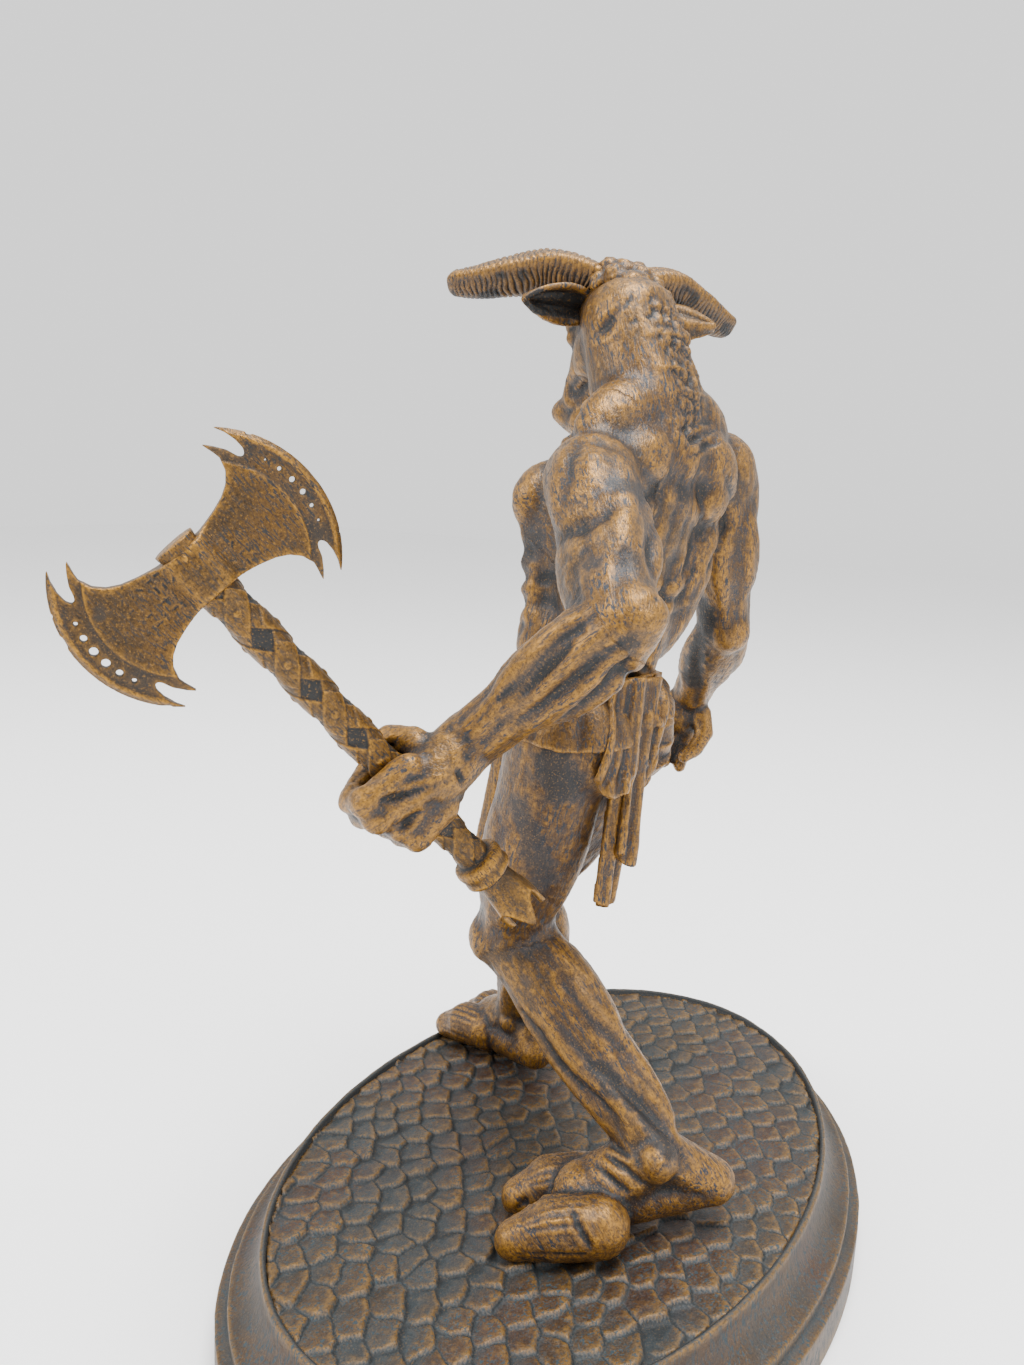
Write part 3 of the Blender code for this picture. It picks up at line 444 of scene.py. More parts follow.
def arm(bm, shoulder, elbow, wrist, trunk_side, size):
    upper, lower = arm_limbs(shoulder, elbow, wrist)
    chain(bm, ((shoulder, 11.5 * size), (upper.at(0.5), 9.5 * size), (elbow, 8.2 * size)))
    outward = (TORSO_LEFT * trunk_side + UP * 0.5).normalized()
    for swing in (-0.9, 0.0, 0.9):
        lift = outward + TORSO_FRONT * swing
        muscle(bm, shoulder + lift * 4.5 * size + UP * 6, upper.at(0.55) + lift * 3.0 * size,
               7.5 * size, 7.0 * size, lift)
    upper.bulge(bm, 0.18, 0.95, 5.5 * size, 0.0, 7.0 * size, 7.5 * size)
    upper.bulge(bm, 0.12, 0.85, -5.0 * size, 4.0 * size, 7.0 * size, 6.0 * size)
    upper.bulge(bm, 0.12, 0.8, -5.0 * size, -4.0 * size, 6.5 * size, 6.0 * size)
    ball(bm, elbow - upper.front * 3.5 * size, (6.8 * size,) * 3)
    chain(bm, ((elbow, 8.0 * size), (lower.at(0.3), 8.6 * size), (lower.at(0.75), 7.0 * size),
               (wrist, 6.6 * size)))
    lower.bulge(bm, -0.18, 0.62, -3.0 * size, 4.5 * size, 6.2 * size, 6.0 * size, -1.0)
    lower.bulge(bm, -0.12, 0.7, 3.5 * size, 3.5 * size, 5.5 * size, 5.0 * size)
    lower.bulge(bm, -0.1, 0.75, -1.0 * size, -5.0 * size, 5.8 * size, 5.0 * size)
    lower.bulge(bm, 0.1, 1.05, 1.5 * size, 4.0 * size, 4.0 * size, 3.0 * size, 1.0, 2.5 * size)
    lower.bulge(bm, 0.1, 1.05, 3.5 * size, -2.0 * size, 3.5 * size, 3.5 * size)


def finger(bm, points, radius, tip):
    count = len(points) - 1
    chain(bm, [(point, radius + (tip - radius) * step / count) for step, point in enumerate(points)])


def fist(bm):
    """The left hand closed round the haft, with its back up and outwards."""
    palm_back = (BLADE_ACROSS.cross(HAFT_AXIS)).normalized()
    reach = HAFT_AXIS.cross(palm_back)
    if reach.z > 0:
        reach = -reach
    turn = Matrix((palm_back, reach, HAFT_AXIS)).transposed()

    def hand(along, reaching, backward):
        return GRIP + HAFT_AXIS * along + reach * reaching + palm_back * backward

    for along, spread, longer in ((7.6, 0.6, 3.0), (3.0, 0.2, 3.6), (-2.9, -0.4, 1.0), (-7.4, -1.2, 0.0)):
        finger(bm, (hand(along - spread, -4, 7.5), hand(along, 5.0 + longer, 7.0),
                    hand(along, 8.5 + longer, 0.5), hand(along - 0.5, 5.5, -6.8),
                    hand(along - 1, -2.0, -7.8), hand(along - 1, -6.5, -4.0)), 3.6, 2.8)
        ball(bm, hand(along, 5.5 + longer, 6.6), (4.2, 4.0, 3.9), turn)
    ball(bm, hand(0.5, -1, 6.5), (4.8, 8.5, 10.5), turn)
    ball(bm, hand(-1, -6.5, 3.0), (6.5, 6, 9.0), turn)
    finger(bm, (hand(3, -8.5, 3), hand(7.5, -8.5, -1.5), hand(10.5, -4.5, -6.5),
                hand(10, 2.0, -8.0)), 4.0, 3.0)
    chain(bm, ((LEFT_WRIST, 7.4), (hand(0, -6, 4.5), 7.8)))


def claw(bm):
    """The right hand hanging open, its fingers hooked."""
    fore = (RIGHT_WRIST - RIGHT_ELBOW).normalized()
    reach = (fore + Vector((0.75, -0.35, -0.9))).normalized()
    palm = (Vector((0.75, 0.35, -0.1)) - reach * Vector((0.75, 0.35, -0.1)).dot(reach)).normalized()
    wide = palm.cross(reach).normalized()

    def hand(across, reaching, palmward):
        return RIGHT_WRIST + wide * across + reach * reaching + palm * palmward

    ball(bm, hand(0, 6.5, 1), (8.6, 4.6, 9.5), Matrix((wide, palm, reach)).transposed())
    for across, length in ((-6.8, 0.82), (-2.4, 0.95), (2.2, 1.0), (6.6, 0.92)):
        finger(bm, (hand(across * 0.85, 11, 0), hand(across * 1.15, 11 + 7 * length, 1),
                    hand(across * 1.3, 11 + 12 * length, 5.5),
                    hand(across * 1.3, 11 + 12 * length, 10.5 * length)), 3.3, 2.1)
    finger(bm, (hand(6, 3, 3), hand(10.0, 7.5, 6.5), hand(9.5, 13, 10.5), hand(7, 16.5, 13.5)), 3.7, 2.3)


def leg_limbs(hip, knee, ankle, facing, outward):
    thigh = Limb(hip, knee, facing)
    shin = Limb(knee, ankle, facing - UP * 0.2)
    if thigh.side.dot(outward) < 0:
        thigh.side = -thigh.side
    if shin.side.dot(outward) < 0:
        shin.side = -shin.side
    return thigh, shin


def leg(bm, hip, knee, ankle, facing, outward):
    thigh, shin = leg_limbs(hip, knee, ankle, facing, outward)
    chain(bm, ((hip, 15.5), (thigh.at(0.45), 14.5), (thigh.at(0.8), 11.5), (knee, 10.5)))
    thigh.bulge(bm, 0.02, 0.92, 5.5, 1.0, 10.0, 10.5)
    thigh.bulge(bm, 0.08, 0.95, 1.0, 8.0, 9.5, 8.5, 4.0, 5.0)
    thigh.bulge(bm, 0.35, 1.0, 3.0, -6.0, 8.0, 7.5, 5.0, -4.5)
    thigh.bulge(bm, 0.0, 0.9, -6.5, 2.5, 9.5, 8.0, -4.0, 4.0)
    thigh.bulge(bm, 0.0, 0.8, -5.0, -5.0, 9.0, 8.5)
    ball(bm, thigh.at(1.0, 5.5), (8.0, 7.0, 8.5))
    chain(bm, ((knee, 10.0), (shin.at(0.3, -2.0), 10.5), (shin.at(0.65, 1.0), 7.8), (ankle, 7.6)))
    shin.bulge(bm, -0.05, 0.95, 4.5, 1.0, 6.0, 6.5)
    shin.bulge(bm, -0.02, 0.66, -7.0, 3.5, 8.2, 7.8)
    shin.bulge(bm, -0.02, 0.6, -6.5, -4.0, 8.2, 7.2)
    shin.bulge(bm, 0.15, 0.98, -7.0, 0.5, 5.2, 5.0, -8.5)
    shin.bulge(bm, 0.1, 0.98, 0.0, 5.0, 5.5, 4.5, 0.0, 4.5)


LEFT_LEG = (LEFT_HIP, LEFT_KNEE, LEFT_ANKLE, Vector((0.5, -0.86, 0.0)), Vector((1.0, 0.0, 0.0)))
RIGHT_LEG = (RIGHT_HIP, RIGHT_KNEE, RIGHT_ANKLE, Vector((-0.2, -0.98, 0.0)), Vector((-1.0, 0.0, 0.0)))


def hoof(bm, tip, heel, radius, height):
    """One toe of a cloven foot, from its heel to its blunt tip on the ground."""
    run = (tip - heel)
    front = heel + run * 0.93
    chain(bm, ((heel + UP * height * 0.55, radius * 1.02), (heel + run * 0.5 + UP * height * 0.5, radius),
               (front + UP * height * 0.24, radius * 0.66)))


def left_foot(bm):
    heel = Vector((12.5, 51.5, 12.5))
    capsule(bm, LEFT_ANKLE, heel, 7.5, 6.6)
    capsule(bm, heel, Vector((24.0, 34.0, 9.5)), 6.4, 8.5)
    capsule(bm, LEFT_ANKLE, Vector((30.0, 26.0, 10.5)), 8.2, 9.5)
    capsule(bm, Vector((24.0, 34.0, 10.0)), Vector((33.5, 22.0, 8.5)), 9.0, 9.5)
    ball(bm, LEFT_ANKLE + Vector((4.6, 2.4, 0.8)), (5.6, 5.6, 6.0))
    hoof(bm, Vector((55.0, 10.5, 0.0)), Vector((41.0, 30.5, 0.0)), 8.4, 13.0)
    hoof(bm, Vector((38.5, 2.5, 0.0)), Vector((25.5, 19.0, 0.0)), 8.0, 13.0)


def right_foot(bm):
    heel = Vector((-27.5, -28.5, 8.0))
    capsule(bm, RIGHT_ANKLE, heel, 7.2, 6.4)
    capsule(bm, heel, Vector((-33.0, -43.0, 7.5)), 6.4, 8.0)
    capsule(bm, RIGHT_ANKLE, Vector((-37.0, -50.0, 9.0)), 7.8, 9.0)
    ball(bm, RIGHT_ANKLE + Vector((4.4, 0.5, 0.0)), (5.2, 5.4, 5.6))
    hoof(bm, Vector((-33.0, -70.0, 0.0)), Vector((-32.0, -51.0, 0.0)), 7.4, 13.0)
    hoof(bm, Vector((-48.5, -67.0, 0.0)), Vector((-43.5, -50.0, 0.0)), 7.4, 13.0)


def head_point(side, front, up):
    return HEAD + HEAD_SIDE * side + HEAD_FRONT * front + HEAD_UP * up


HEAD_FRAME = Matrix((HEAD_SIDE, -HEAD_FRONT, HEAD_UP)).transposed()


def neck(bm):
    chain(bm, ((torso(0, -2, 214), 17.5), (torso(0, -3, 224), 15.8), (head_point(0, -7, -8), 13.6),
               (head_point(0, -2, -1), 11.8)))
    muscle(bm, torso(0, -8, 214), head_point(0, -12, 3), 11.0, 7.5, -TORSO_FRONT)


def bull_head(bm):
    ball(bm, head_point(0, 0, 0), (11.5, 13.5, 11.0), HEAD_FRAME)
    ball(bm, head_point(0, -3, 7.0), (6.0, 7.0, 5.5), HEAD_FRAME)
    ball(bm, head_point(0, 6, 5), (10.5, 9.0, 7.5), HEAD_FRAME)
    chain(bm, ((head_point(0, 4, -1), 11.0), (head_point(0, 20, -3.5), 8.4), (head_point(0, 33, -6.5), 7.6)))
    ball(bm, head_point(0, 35, -5.5), (9.0, 6.0, 6.5), HEAD_FRAME)
    ball(bm, head_point(0, 29, -12.5), (6.5, 8.0, 4.0), HEAD_FRAME)
    for side in (-1, 1):
        ball(bm, head_point(8.0 * side, 8, 5.5), (4.6, 5.5, 3.4), HEAD_FRAME)
        ball(bm, head_point(7.0 * side, 3, -8), (5.5, 11, 8), HEAD_FRAME)
        ball(bm, head_point(5.5 * side, 36.5, -4.5), (3.6, 3.6, 3.6), HEAD_FRAME)
        ball(bm, head_point(9.4 * side, 10.5, 1.6), (2.6, 3.0, 2.4), HEAD_FRAME)


# The skin's own detail

UPPER_VOXEL = 0.8
LEG_VOXEL = 0.8
CREASE_VOXEL = 0.9
CREASE_FILL = 2.4
SOFT_ROUNDS = 4
GRAIN_STRETCH = 0.22


def filled(bm):
    """One closed skin over overlapping forms, with the narrow creases between them filled, as a new bmesh."""
    voxels = ("REMESH", {"mode": "VOXEL", "voxel_size": CREASE_VOXEL})
    mesh = evaluated(new_mesh("forms", bm), voxels, ("DISPLACE", {"strength": CREASE_FILL, "mid_level": 0.0}),
                     voxels, ("SMOOTH", {"factor": 0.5, "iterations": 6}),
                     ("DISPLACE", {"strength": -CREASE_FILL, "mid_level": 0.0}))
    skin = bmesh.new()
    skin.from_mesh(mesh)
    return skin


def limb_lines(limb, first, last, radius, turns, twist):
    """Routes along a limb, so far from its axis, that start at some turns round it and wind on by a twist."""
    shares = [first + (last - first) * step / 5.0 for step in range(6)]
    lines = []
    for turn in turns:
        angles = [turn + twist * (share - first) for share in shares]
        lines.append([limb.at(share, radius * math.cos(angle), radius * math.sin(angle))
                      for share, angle in zip(shares, angles)])
    return lines


def hatch(skin, grain, depth, spacing=1.5):
    """Short fine cuts that run along the grain, with wash left in them."""
    cuts = lumps(grain * (1.0, 1.0, GRAIN_STRETCH), spacing, 7.0)
    skin.lift(depth * cuts)
    patches = smoothstep(-0.5, 0.6, lumps(grain, 16.0, 9.0))
    skin.stain_and_shade = np.maximum(skin.stain_and_shade, 0.6 * smoothstep(0.3, 0.7, -cuts) * patches)


def clay(bm, voxel, soft, firm_places):
    """One closed skin over overlapping forms: soft all over, and firmer within a radius of some places."""
    mesh = evaluated(new_mesh("forms", bm), ("REMESH", {"mode": "VOXEL", "voxel_size": voxel}))
    skin = Skin(mesh)
    firm = skin.relaxed(skin.points, 3)
    loose = skin.relaxed(firm, soft)
    loose += skin.relaxed(firm - loose, soft)
    keep = np.zeros(len(firm))
    for place, radius in firm_places:
        gap = np.linalg.norm(firm - np.array(place), axis=1)
        keep = np.maximum(keep, 1.0 - smoothstep(radius * 0.7, radius, gap))
    skin.points = loose + (firm - loose) * keep[:, None]
    skin.renew()
    return skin


def cut_level(mesh, level):
    """Cuts away what lies below a level and closes the cut."""
    bm = bmesh.new()
    bm.from_mesh(mesh)
    everything = bm.verts[:] + bm.edges[:] + bm.faces[:]
    cut = bmesh.ops.bisect_plane(bm, geom=everything, plane_co=(0, 0, level), plane_no=UP, clear_inner=True)
    rims = [edge for edge in cut["geom_cut"] if isinstance(edge, bmesh.types.BMEdge)]
    bmesh.ops.holes_fill(bm, edges=rims, sides=0)
    bmesh.ops.triangulate(bm, faces=[face for face in bm.faces if len(face.verts) > 4])
    bm.to_mesh(mesh)
    bm.free()


def stand_up(mesh):
    """From parts above the soles to metres on the plinth."""
    mesh.transform(Matrix.Translation((0.0, 0.0, FOOT_LEVEL)) @ Matrix.Scale(MM, 4))


def place_on_figure(name, mesh):
    """Stands a finished mesh on the plinth, as a bronze piece of the figure."""
    stand_up(mesh)
    place_piece(name, mesh, BRONZE, "minotaur")


def paint_layers(skin, grain, depth=1.0, tint=None):
    """Stores how much wash and painted shade, wear and warm tint each point of the skin has, and its grain."""
    skin.renew()
    small, wide = skin.hollows()
    # Wash in the small hollows; the broad hollows are darkened too, which is painted shade
    wash = np.clip(small * 9.0 * depth, 0.0, 1.0) + np.clip(wide * 1.1 * depth - 0.12, 0.0, 0.7)
    mottle = 0.5 + 0.5 * lumps(skin.points, 7.0, 2.0)
    wash = np.clip(np.maximum(wash * (0.65 + 0.5 * mottle), skin.stain_and_shade), 0.0, 1.0)
    wear = np.clip(-small * 10.0 * depth, 0.0, 1.0) * 0.6 + np.clip(-wide * 1.6 * depth, 0.0, 0.8)
    attribute(skin.mesh, "wash", wash)
    attribute(skin.mesh, "wear", np.clip(wear, 0.0, 1.0))
    attribute(skin.mesh, "tint", np.zeros(len(skin.points)) if tint is None else tint)
    attribute(skin.mesh, "grain", grain, "FLOAT_VECTOR")


def limb_grain(points, limbs):
    """Coordinates in mm that run along the nearest limb, so that hatching follows it."""
    gaps = []
    for start, end in limbs:
        axis = np.array(end - start)
        share = np.clip((points - np.array(start)) @ axis / (axis @ axis), 0.0, 1.0)
        gaps.append(np.linalg.norm(points - np.array(start) - share[:, None] * axis, axis=1))
    nearest = np.argmin(gaps, axis=0)
    grain = np.zeros_like(points)
    for index, (start, end) in enumerate(limbs):
        turn = np.array(frame_along(end - start, Vector((0.3, 0.9, 0.2))))
        chosen = nearest == index
        grain[chosen] = (points[chosen] - np.array(start)) @ turn + 40.0 * index
    return grain


# Strokes seen in the photograph, as its pixels: (width, height over the skin, dark wash, routes)

FOREARM_STROKES = (
    (2.4, -1.1, 0.7, (((620, 645), (585, 672), (548, 700), (512, 730)),
                      ((590, 618), (560, 640), (528, 672), (500, 700)),
                      ((632, 655), (600, 690), (560, 722), (520, 752)),
                      ((570, 650), (545, 672), (520, 700)))),
    (2.0, 0.8, 0.0, (((605, 628), (575, 655), (540, 686), (505, 716)),
                      ((628, 650), (592, 682), (556, 710), (520, 738)))),
)
BACK_STROKES = (
    (6.0, 1.1, 0.0, (((715, 472), (713, 523), (700, 560), (684, 584), (643, 619)),)),
    (4.6, 0.9, 0.0, (((735, 478), (733, 523), (721, 564)), ((664, 492), (694, 515), (692, 535)))),
    (2.4, -0.8, 0.45, (((725, 472), (723, 523), (711, 562), (690, 596)),
                      ((700, 480), (700, 520), (688, 556), (660, 590)),
                      ((676, 429), (694, 438), (711, 447)), ((690, 575), (668, 598), (646, 607)))),
    (3.6, -1.2, 0.5, (((647, 472), (653, 494), (655, 539), (653, 574)),
                      ((566, 533), (594, 519), (623, 502)))),
    (3.2, -0.5, 0.25, (((600, 520), (580, 532), (556, 540)), ((560, 545), (545, 580), (543, 600)),
                      ((600, 440), (612, 470), (610, 500)), ((575, 450), (566, 480), (560, 510)),
                      ((640, 520), (628, 555), (612, 590)), ((585, 545), (575, 580), (580, 610)))),
    (6.0, 0.7, 0.0, (((672, 427), (680, 431)), ((590, 450), (585, 480), (575, 505)),
                      ((625, 450), (632, 480), (628, 505)))),
    (2.6, -1.2, 0.9, (((606, 676), (630, 678), (651, 673)), ((577, 375), (575, 395), (582, 415)),
                      ((597, 333), (606, 326), (615, 315)))),
)
BACK_WASHES = ((5.0, 0.85, ((682, 494),)), (5.5, 0.8, ((621, 486), (635, 492), (649, 498))),
               (6.0, 0.8, ((530, 540), (524, 560))), (5.0, 0.75, ((630, 560),)), (5.0, 0.75, ((590, 565),)),
               (6.0, 0.95, ((705, 610), (700, 640), (692, 680))), (4.5, 0.8, ((627, 645),)),
               (4.5, 0.7, ((705, 450),)), (5.0, 0.7, ((520, 600), (515, 630))))
FIST_STROKES = (
    (3.4, 1.1, 0.0, (((427, 726), (390, 757), (347, 790)), ((445, 779), (410, 805), (374, 833)))),
    (1.5, -1.3, 0.95, (((382, 801), (412, 794), (445, 781)), ((395, 742), (372, 764), (352, 786)),
                       ((458, 770), (463, 783)), ((418, 812), (400, 830)))),
    (2.6, 1.0, 0.0, (((388, 722), (392, 724)), ((408, 720), (412, 723)), ((430, 728), (434, 731)))),
)
LEG_STROKES = (
    (3.2, -1.4, 0.8, (((553, 1019), (572, 1043), (593, 1066), (617, 1083),
                       (641, 1106), (664, 1130), (688, 1165)),)),
    (2.6, -0.8, 0.6, (((523, 1012), (539, 1033), (558, 1062), (582, 1085), (605, 1106), (624, 1132)),
                       ((560, 979), (575, 998), (591, 1019), (610, 1038), (629, 1055)))),
    (1.5, -0.9, 0.8, (((605, 1154), (622, 1166), (641, 1182)), ((612, 1147), (622, 1152), (629, 1158)),
                      ((596, 1164), (612, 1180), (628, 1192)), ((572, 1208), (579, 1227), (591, 1250)),
                      ((519, 1207), (536, 1200), (553, 1196)))),
    (4.0, 1.2, 0.0, (((656, 1163), (662, 1167)),)),
    (3.0, 0.9, 0.0, (((540, 1010), (560, 1034), (582, 1058), (606, 1080)),
                      ((575, 985), (592, 1008), (612, 1028)))),
)
LEG_WASHES = ((9.0, 0.8, ((560, 740), (555, 765), (560, 785))),
              (6.0, 0.7, ((520, 810), (535, 850), (545, 880))),
              (5.0, 0.85, ((600, 1070), (640, 1110), (670, 1150))))


def carve(skin, strokes, washes=()):
    for width, height, stain_and_shade, routes in strokes:
        for pixels in routes:
            skin.stroke(skin.seen(pixels), width, height, lip=0.2, stain_and_shade=stain_and_shade)
    for radius, strength, pixels in washes:
        skin.wash(skin.seen(pixels), radius, strength)


MANE_ROWS = 13
MANE_COLUMNS = (-2, -1, 0, 1, 2)


def mane(skin):
    """Short rough tufts from the crown down the back of the neck, larger and closer near the crown."""
    for row in range(MANE_ROWS):
        share = row / (MANE_ROWS - 1)
        middle = head_point(0, -9, 14).lerp(torso(0, -22, 222), share)
        for column in MANE_COLUMNS:
            cell = np.array(((row, column, 0.0),))
            sway = (scatter(cell, 3.0)[0] - 0.5) * 5.0
            place = middle + HEAD_SIDE * (column * (3.4 - 1.2 * share) + sway * 0.4)
            fall = HEAD_SIDE * sway - UP * 4.0 - HEAD_LEVEL * 0.6
            tuft = [place - fall * 0.5, place, place + fall * 0.5]
            skin.stroke(tuft, 2.0, 1.3 - 0.8 * share, lip=0.5, blunt=0.8)
            gap = place + HEAD_SIDE * 1.8
            skin.stroke([gap - fall * 0.4, gap, gap + fall * 0.4], 1.1, -0.5, stain_and_shade=0.75 - 0.3 * share)


def upper_body():
    bm = bmesh.new()
    trunk(bm)
    neck(bm)
    arms = ((LEFT_SHOULDER, LEFT_ELBOW, LEFT_WRIST), (RIGHT_SHOULDER, RIGHT_ELBOW, RIGHT_WRIST))
    arm(bm, *arms[0], 1, 1.08)
    arm(bm, *arms[1], -1, 1.0)
    bm = filled(bm)
    fist(bm)
    claw(bm)
    bull_head(bm)
    firm = ((GRIP, 24.0), (RIGHT_WRIST - UP * 14.0, 24.0), (head_point(0, 22, 0), 22.0))
    skin = clay(bm, UPPER_VOXEL, SOFT_ROUNDS, firm)
    for joints in arms:
        upper, lower = arm_limbs(*joints)
        for line in limb_lines(lower, 0.1, 0.95, 13.0, (0.2, 1.5, 2.7, 3.9, 5.1), 1.1):
            skin.stroke(line, 2.3, -0.7, lip=0.3, stain_and_shade=0.45)
        for line in limb_lines(upper, 0.35, 0.9, 15.0, (0.5, 2.1, 3.7, 5.3), 0.5):
            skin.stroke(line, 3.2, -0.4, lip=0.2, stain_and_shade=0.2)
    for side in (-1, 1):
        for row in range(4):
            ribs = [torso((24 - reach) * side, 12 - reach * 0.2, 186 - 7.0 * row - 0.5 * reach)
                    for reach in (-3, 3, 9)]
            skin.stroke(ribs, 2.4, -0.6, lip=0.2, stain_and_shade=0.3)
        spine = [torso(3.0 * side, -16, up) for up in (222, 205, 188, 170, 155)]
        skin.stroke(spine, 3.0, -0.5, lip=0.2, stain_and_shade=0.2)
    nape = [head_point(0, -13, -2), torso(0, -20, 232), torso(-3, -22, 222), torso(-6, -20, 212)]
    skin.stroke(nape, 14.0, -3.4, blunt=0.7)
    skin.renew()
    mane(skin)
    skin.renew()
    carve(skin, FOREARM_STROKES + BACK_STROKES + FIST_STROKES, BACK_WASHES)
    skin.renew()
    limbs = ((LEFT_SHOULDER, LEFT_ELBOW), (LEFT_ELBOW, LEFT_WRIST), (RIGHT_SHOULDER, RIGHT_ELBOW),
             (RIGHT_ELBOW, RIGHT_WRIST), (torso(0, 0, 140), torso(0, 0, 215)), (torso(0, 0, 215), HEAD))
    grain = limb_grain(skin.points, limbs)
    hatch(skin, grain, 0.12)
    skin.lift(0.1 * lumps(skin.points, 1.3, 3.0))
    paint_layers(skin, grain)
    place_on_figure("upper_body", skin.mesh)


# Each toe's middle on the ground, and the way that it points
TOES = ((Vector((48.0, 20.5, 0.0)), Vector((0.6, -0.8, 0.0))),
        (Vector((32.0, 10.5, 0.0)), Vector((0.6, -0.8, 0.0))),
        (Vector((-32.5, -61.0, 0.0)), Vector((-0.1, -1.0, 0.0))),
        (Vector((-46.0, -58.5, 0.0)), Vector((-0.3, -0.95, 0.0))))


def legs():
    """Makes the legs, and returns their skin's tree for the cloth to lie on."""
    bm = bmesh.new()
    pelvis(bm)
    leg(bm, *LEFT_LEG)
    leg(bm, *RIGHT_LEG)
    bm = filled(bm)
    left_foot(bm)
    right_foot(bm)
    feet = ((Vector((36.0, 18.0, 4.0)), 26.0), (Vector((-38.0, -58.0, 4.0)), 24.0))
    skin = clay(bm, LEG_VOXEL, SOFT_ROUNDS, feet)
    seat = [torso(-5, -22, 147), torso(-8, -22, 133), torso(-10, -20, 120)]
    skin.stroke(seat, 15.0, -5.0, blunt=0.6)
    skin.renew()
    smooth = skin.tree
    for joints in (LEFT_LEG, RIGHT_LEG):
        thigh, shin = leg_limbs(*joints)
        for line in limb_lines(shin, 0.08, 0.92, 17.0, (0.3, 1.9, 3.4, 4.9), 0.7):
            skin.stroke(line, 3.0, -0.5, lip=0.2, stain_and_shade=0.35)
        for line in limb_lines(thigh, 0.55, 1.0, 20.0, (-0.9, 0.9, 3.0), 0.3):
            skin.stroke(line, 3.4, -0.4, lip=0.2, stain_and_shade=0.2)
    for toe, run in TOES:
        wide = run.cross(UP)
        for step in range(-7, 8):
            swing = step * 0.21 + 0.05 * math.sin(step * 5.0)
            off = wide * 9.0 * math.sin(swing) + UP * (4.0 + 9.0 * math.cos(swing))
            line = [toe + off - run * 8.0, toe + off, toe + off * 0.8 + run * 10.0]
            skin.stroke(line, 1.0, -0.35, lip=0.3, stain_and_shade=0.5)
    skin.renew()
    carve(skin, LEG_STROKES, LEG_WASHES)
    skin.renew()
    limbs = ((LEFT_HIP, LEFT_KNEE), (LEFT_KNEE, LEFT_ANKLE), (RIGHT_HIP, RIGHT_KNEE),
             (RIGHT_KNEE, RIGHT_ANKLE))
    grain = limb_grain(skin.points, limbs)
    hatch(skin, grain, 0.1)
    skin.lift(0.1 * lumps(skin.points, 1.3, 3.0))
    height = skin.points[:, 2]
    thigh_tint = smoothstep(66.0, 84.0, height) * (0.8 + 0.3 * lumps(skin.points, 18.0, 12.0))
    hoof_tint = 0.9 * (1.0 - smoothstep(10.0, 17.0, height))
    paint_layers(skin, grain, 1.0, np.clip(thigh_tint + hoof_tint, 0.0, 1.0))
    cut_level(skin.mesh, 0.0)
    place_on_figure("legs", skin.mesh)
    return smooth


# The loincloth

CLOTH_CLEARANCE = 0.5
CLOTH_VOXEL = 0.55


def laid_on(body, sheet, clearance):
    """Moves the points of a sheet that sink into the body out to a clearance over it."""
    for spot in np.ndindex(sheet.shape[:2]):
        near, facing, _, gap = body.find_nearest(Vector(sheet[spot]))
        height = (Vector(sheet[spot]) - near).dot(facing)
        if gap < 9.0 and height < clearance:
            sheet[spot] = near + facing * clearance


def smoothed(sheet, rounds):
    """A sheet of points averaged with its neighbours' along and across, with its rim kept in place."""
    for _ in range(rounds):
        inner = (sheet[:-2, 1:-1] + sheet[2:, 1:-1] + sheet[1:-1, :-2] + sheet[1:-1, 2:]) / 4.0
        sheet[1:-1, 1:-1] = 0.5 * sheet[1:-1, 1:-1] + 0.5 * inner
    return sheet


def drape(name, body, top, hem, folds, depth, turn=0.0, columns=90, rows=80, thick=2.2,
          crown=0.0, rounding=0.0):
    """A hanging cloth between two lines of points, in round folds that open downwards, on the body's skin."""
    u = np.linspace(0.0, 1.0, columns + 1)[None, :]
    v = np.linspace(0.0, 1.0, rows + 1)[:, None]
    heads = as_array(through(top, columns + 1))[None, :, :]
    feet = as_array(through(hem, columns + 1))[None, :, :]
    drop = (v * (1.0 - rounding * np.abs(2.0 * u - 1.0) ** 3))[:, :, None]
    sheet = heads * (1.0 - drop) + feet * drop
    for rounds in (30, 8):
        laid_on(body, sheet, CLOTH_CLEARANCE + thick / 2.0)
        sheet = smoothed(sheet, rounds)
    along = np.gradient(sheet, axis=1)
    down = np.gradient(sheet, axis=0)
    out = np.cross(along, down)
    out /= np.maximum(np.linalg.norm(out, axis=2, keepdims=True), 1e-6)
    phase = math.tau * (folds * u + turn + 0.05 * np.sin(4.0 * v + turn * 9.0) + 0.1 * np.sin(7.0 * u))
    pleats = 2.0 * (0.5 + 0.5 * np.cos(phase)) ** 0.55 - 1.3
    bulge = crown * np.sin(math.pi * u) ** 0.8 * np.sin(math.pi * np.minimum(v + 0.12, 1.0)) ** 0.6
    sheet += out * (depth * pleats * (0.45 + 0.55 * v) + bulge)[:, :, None]
    bm = bmesh.new()
    bmesh.ops.create_grid(bm, x_segments=columns, y_segments=rows, size=0.5)
    for vert in bm.verts:
        vert.co = sheet[round((vert.co.y + 0.5) * rows), round((vert.co.x + 0.5) * columns)]
    mesh = evaluated(new_mesh(name, bm), ("SOLIDIFY", {"thickness": thick, "offset": 0.0}),
                     ("REMESH", {"mode": "VOXEL", "voxel_size": CLOTH_VOXEL}),
                     ("SMOOTH", {"factor": 0.5, "iterations": 5}))
    skin = Skin(mesh)
    skin.lift(0.08 * lumps(skin.points * (1.0, 1.0, 0.3), 2.0, 8.0))
    paint_layers(skin, skin.points, 1.0, np.full(len(skin.points), 0.35))
    place_on_figure(name, skin.mesh)


def hip_ring(angle, height, outward):
    """A point round the hips, where an angle of 0 is the front and one under 0 the figure's left."""
    across = 20.5 + outward
    deep = 16.0 + outward
    return torso(-across * math.sin(angle), -1.0 + deep * math.cos(angle), height)


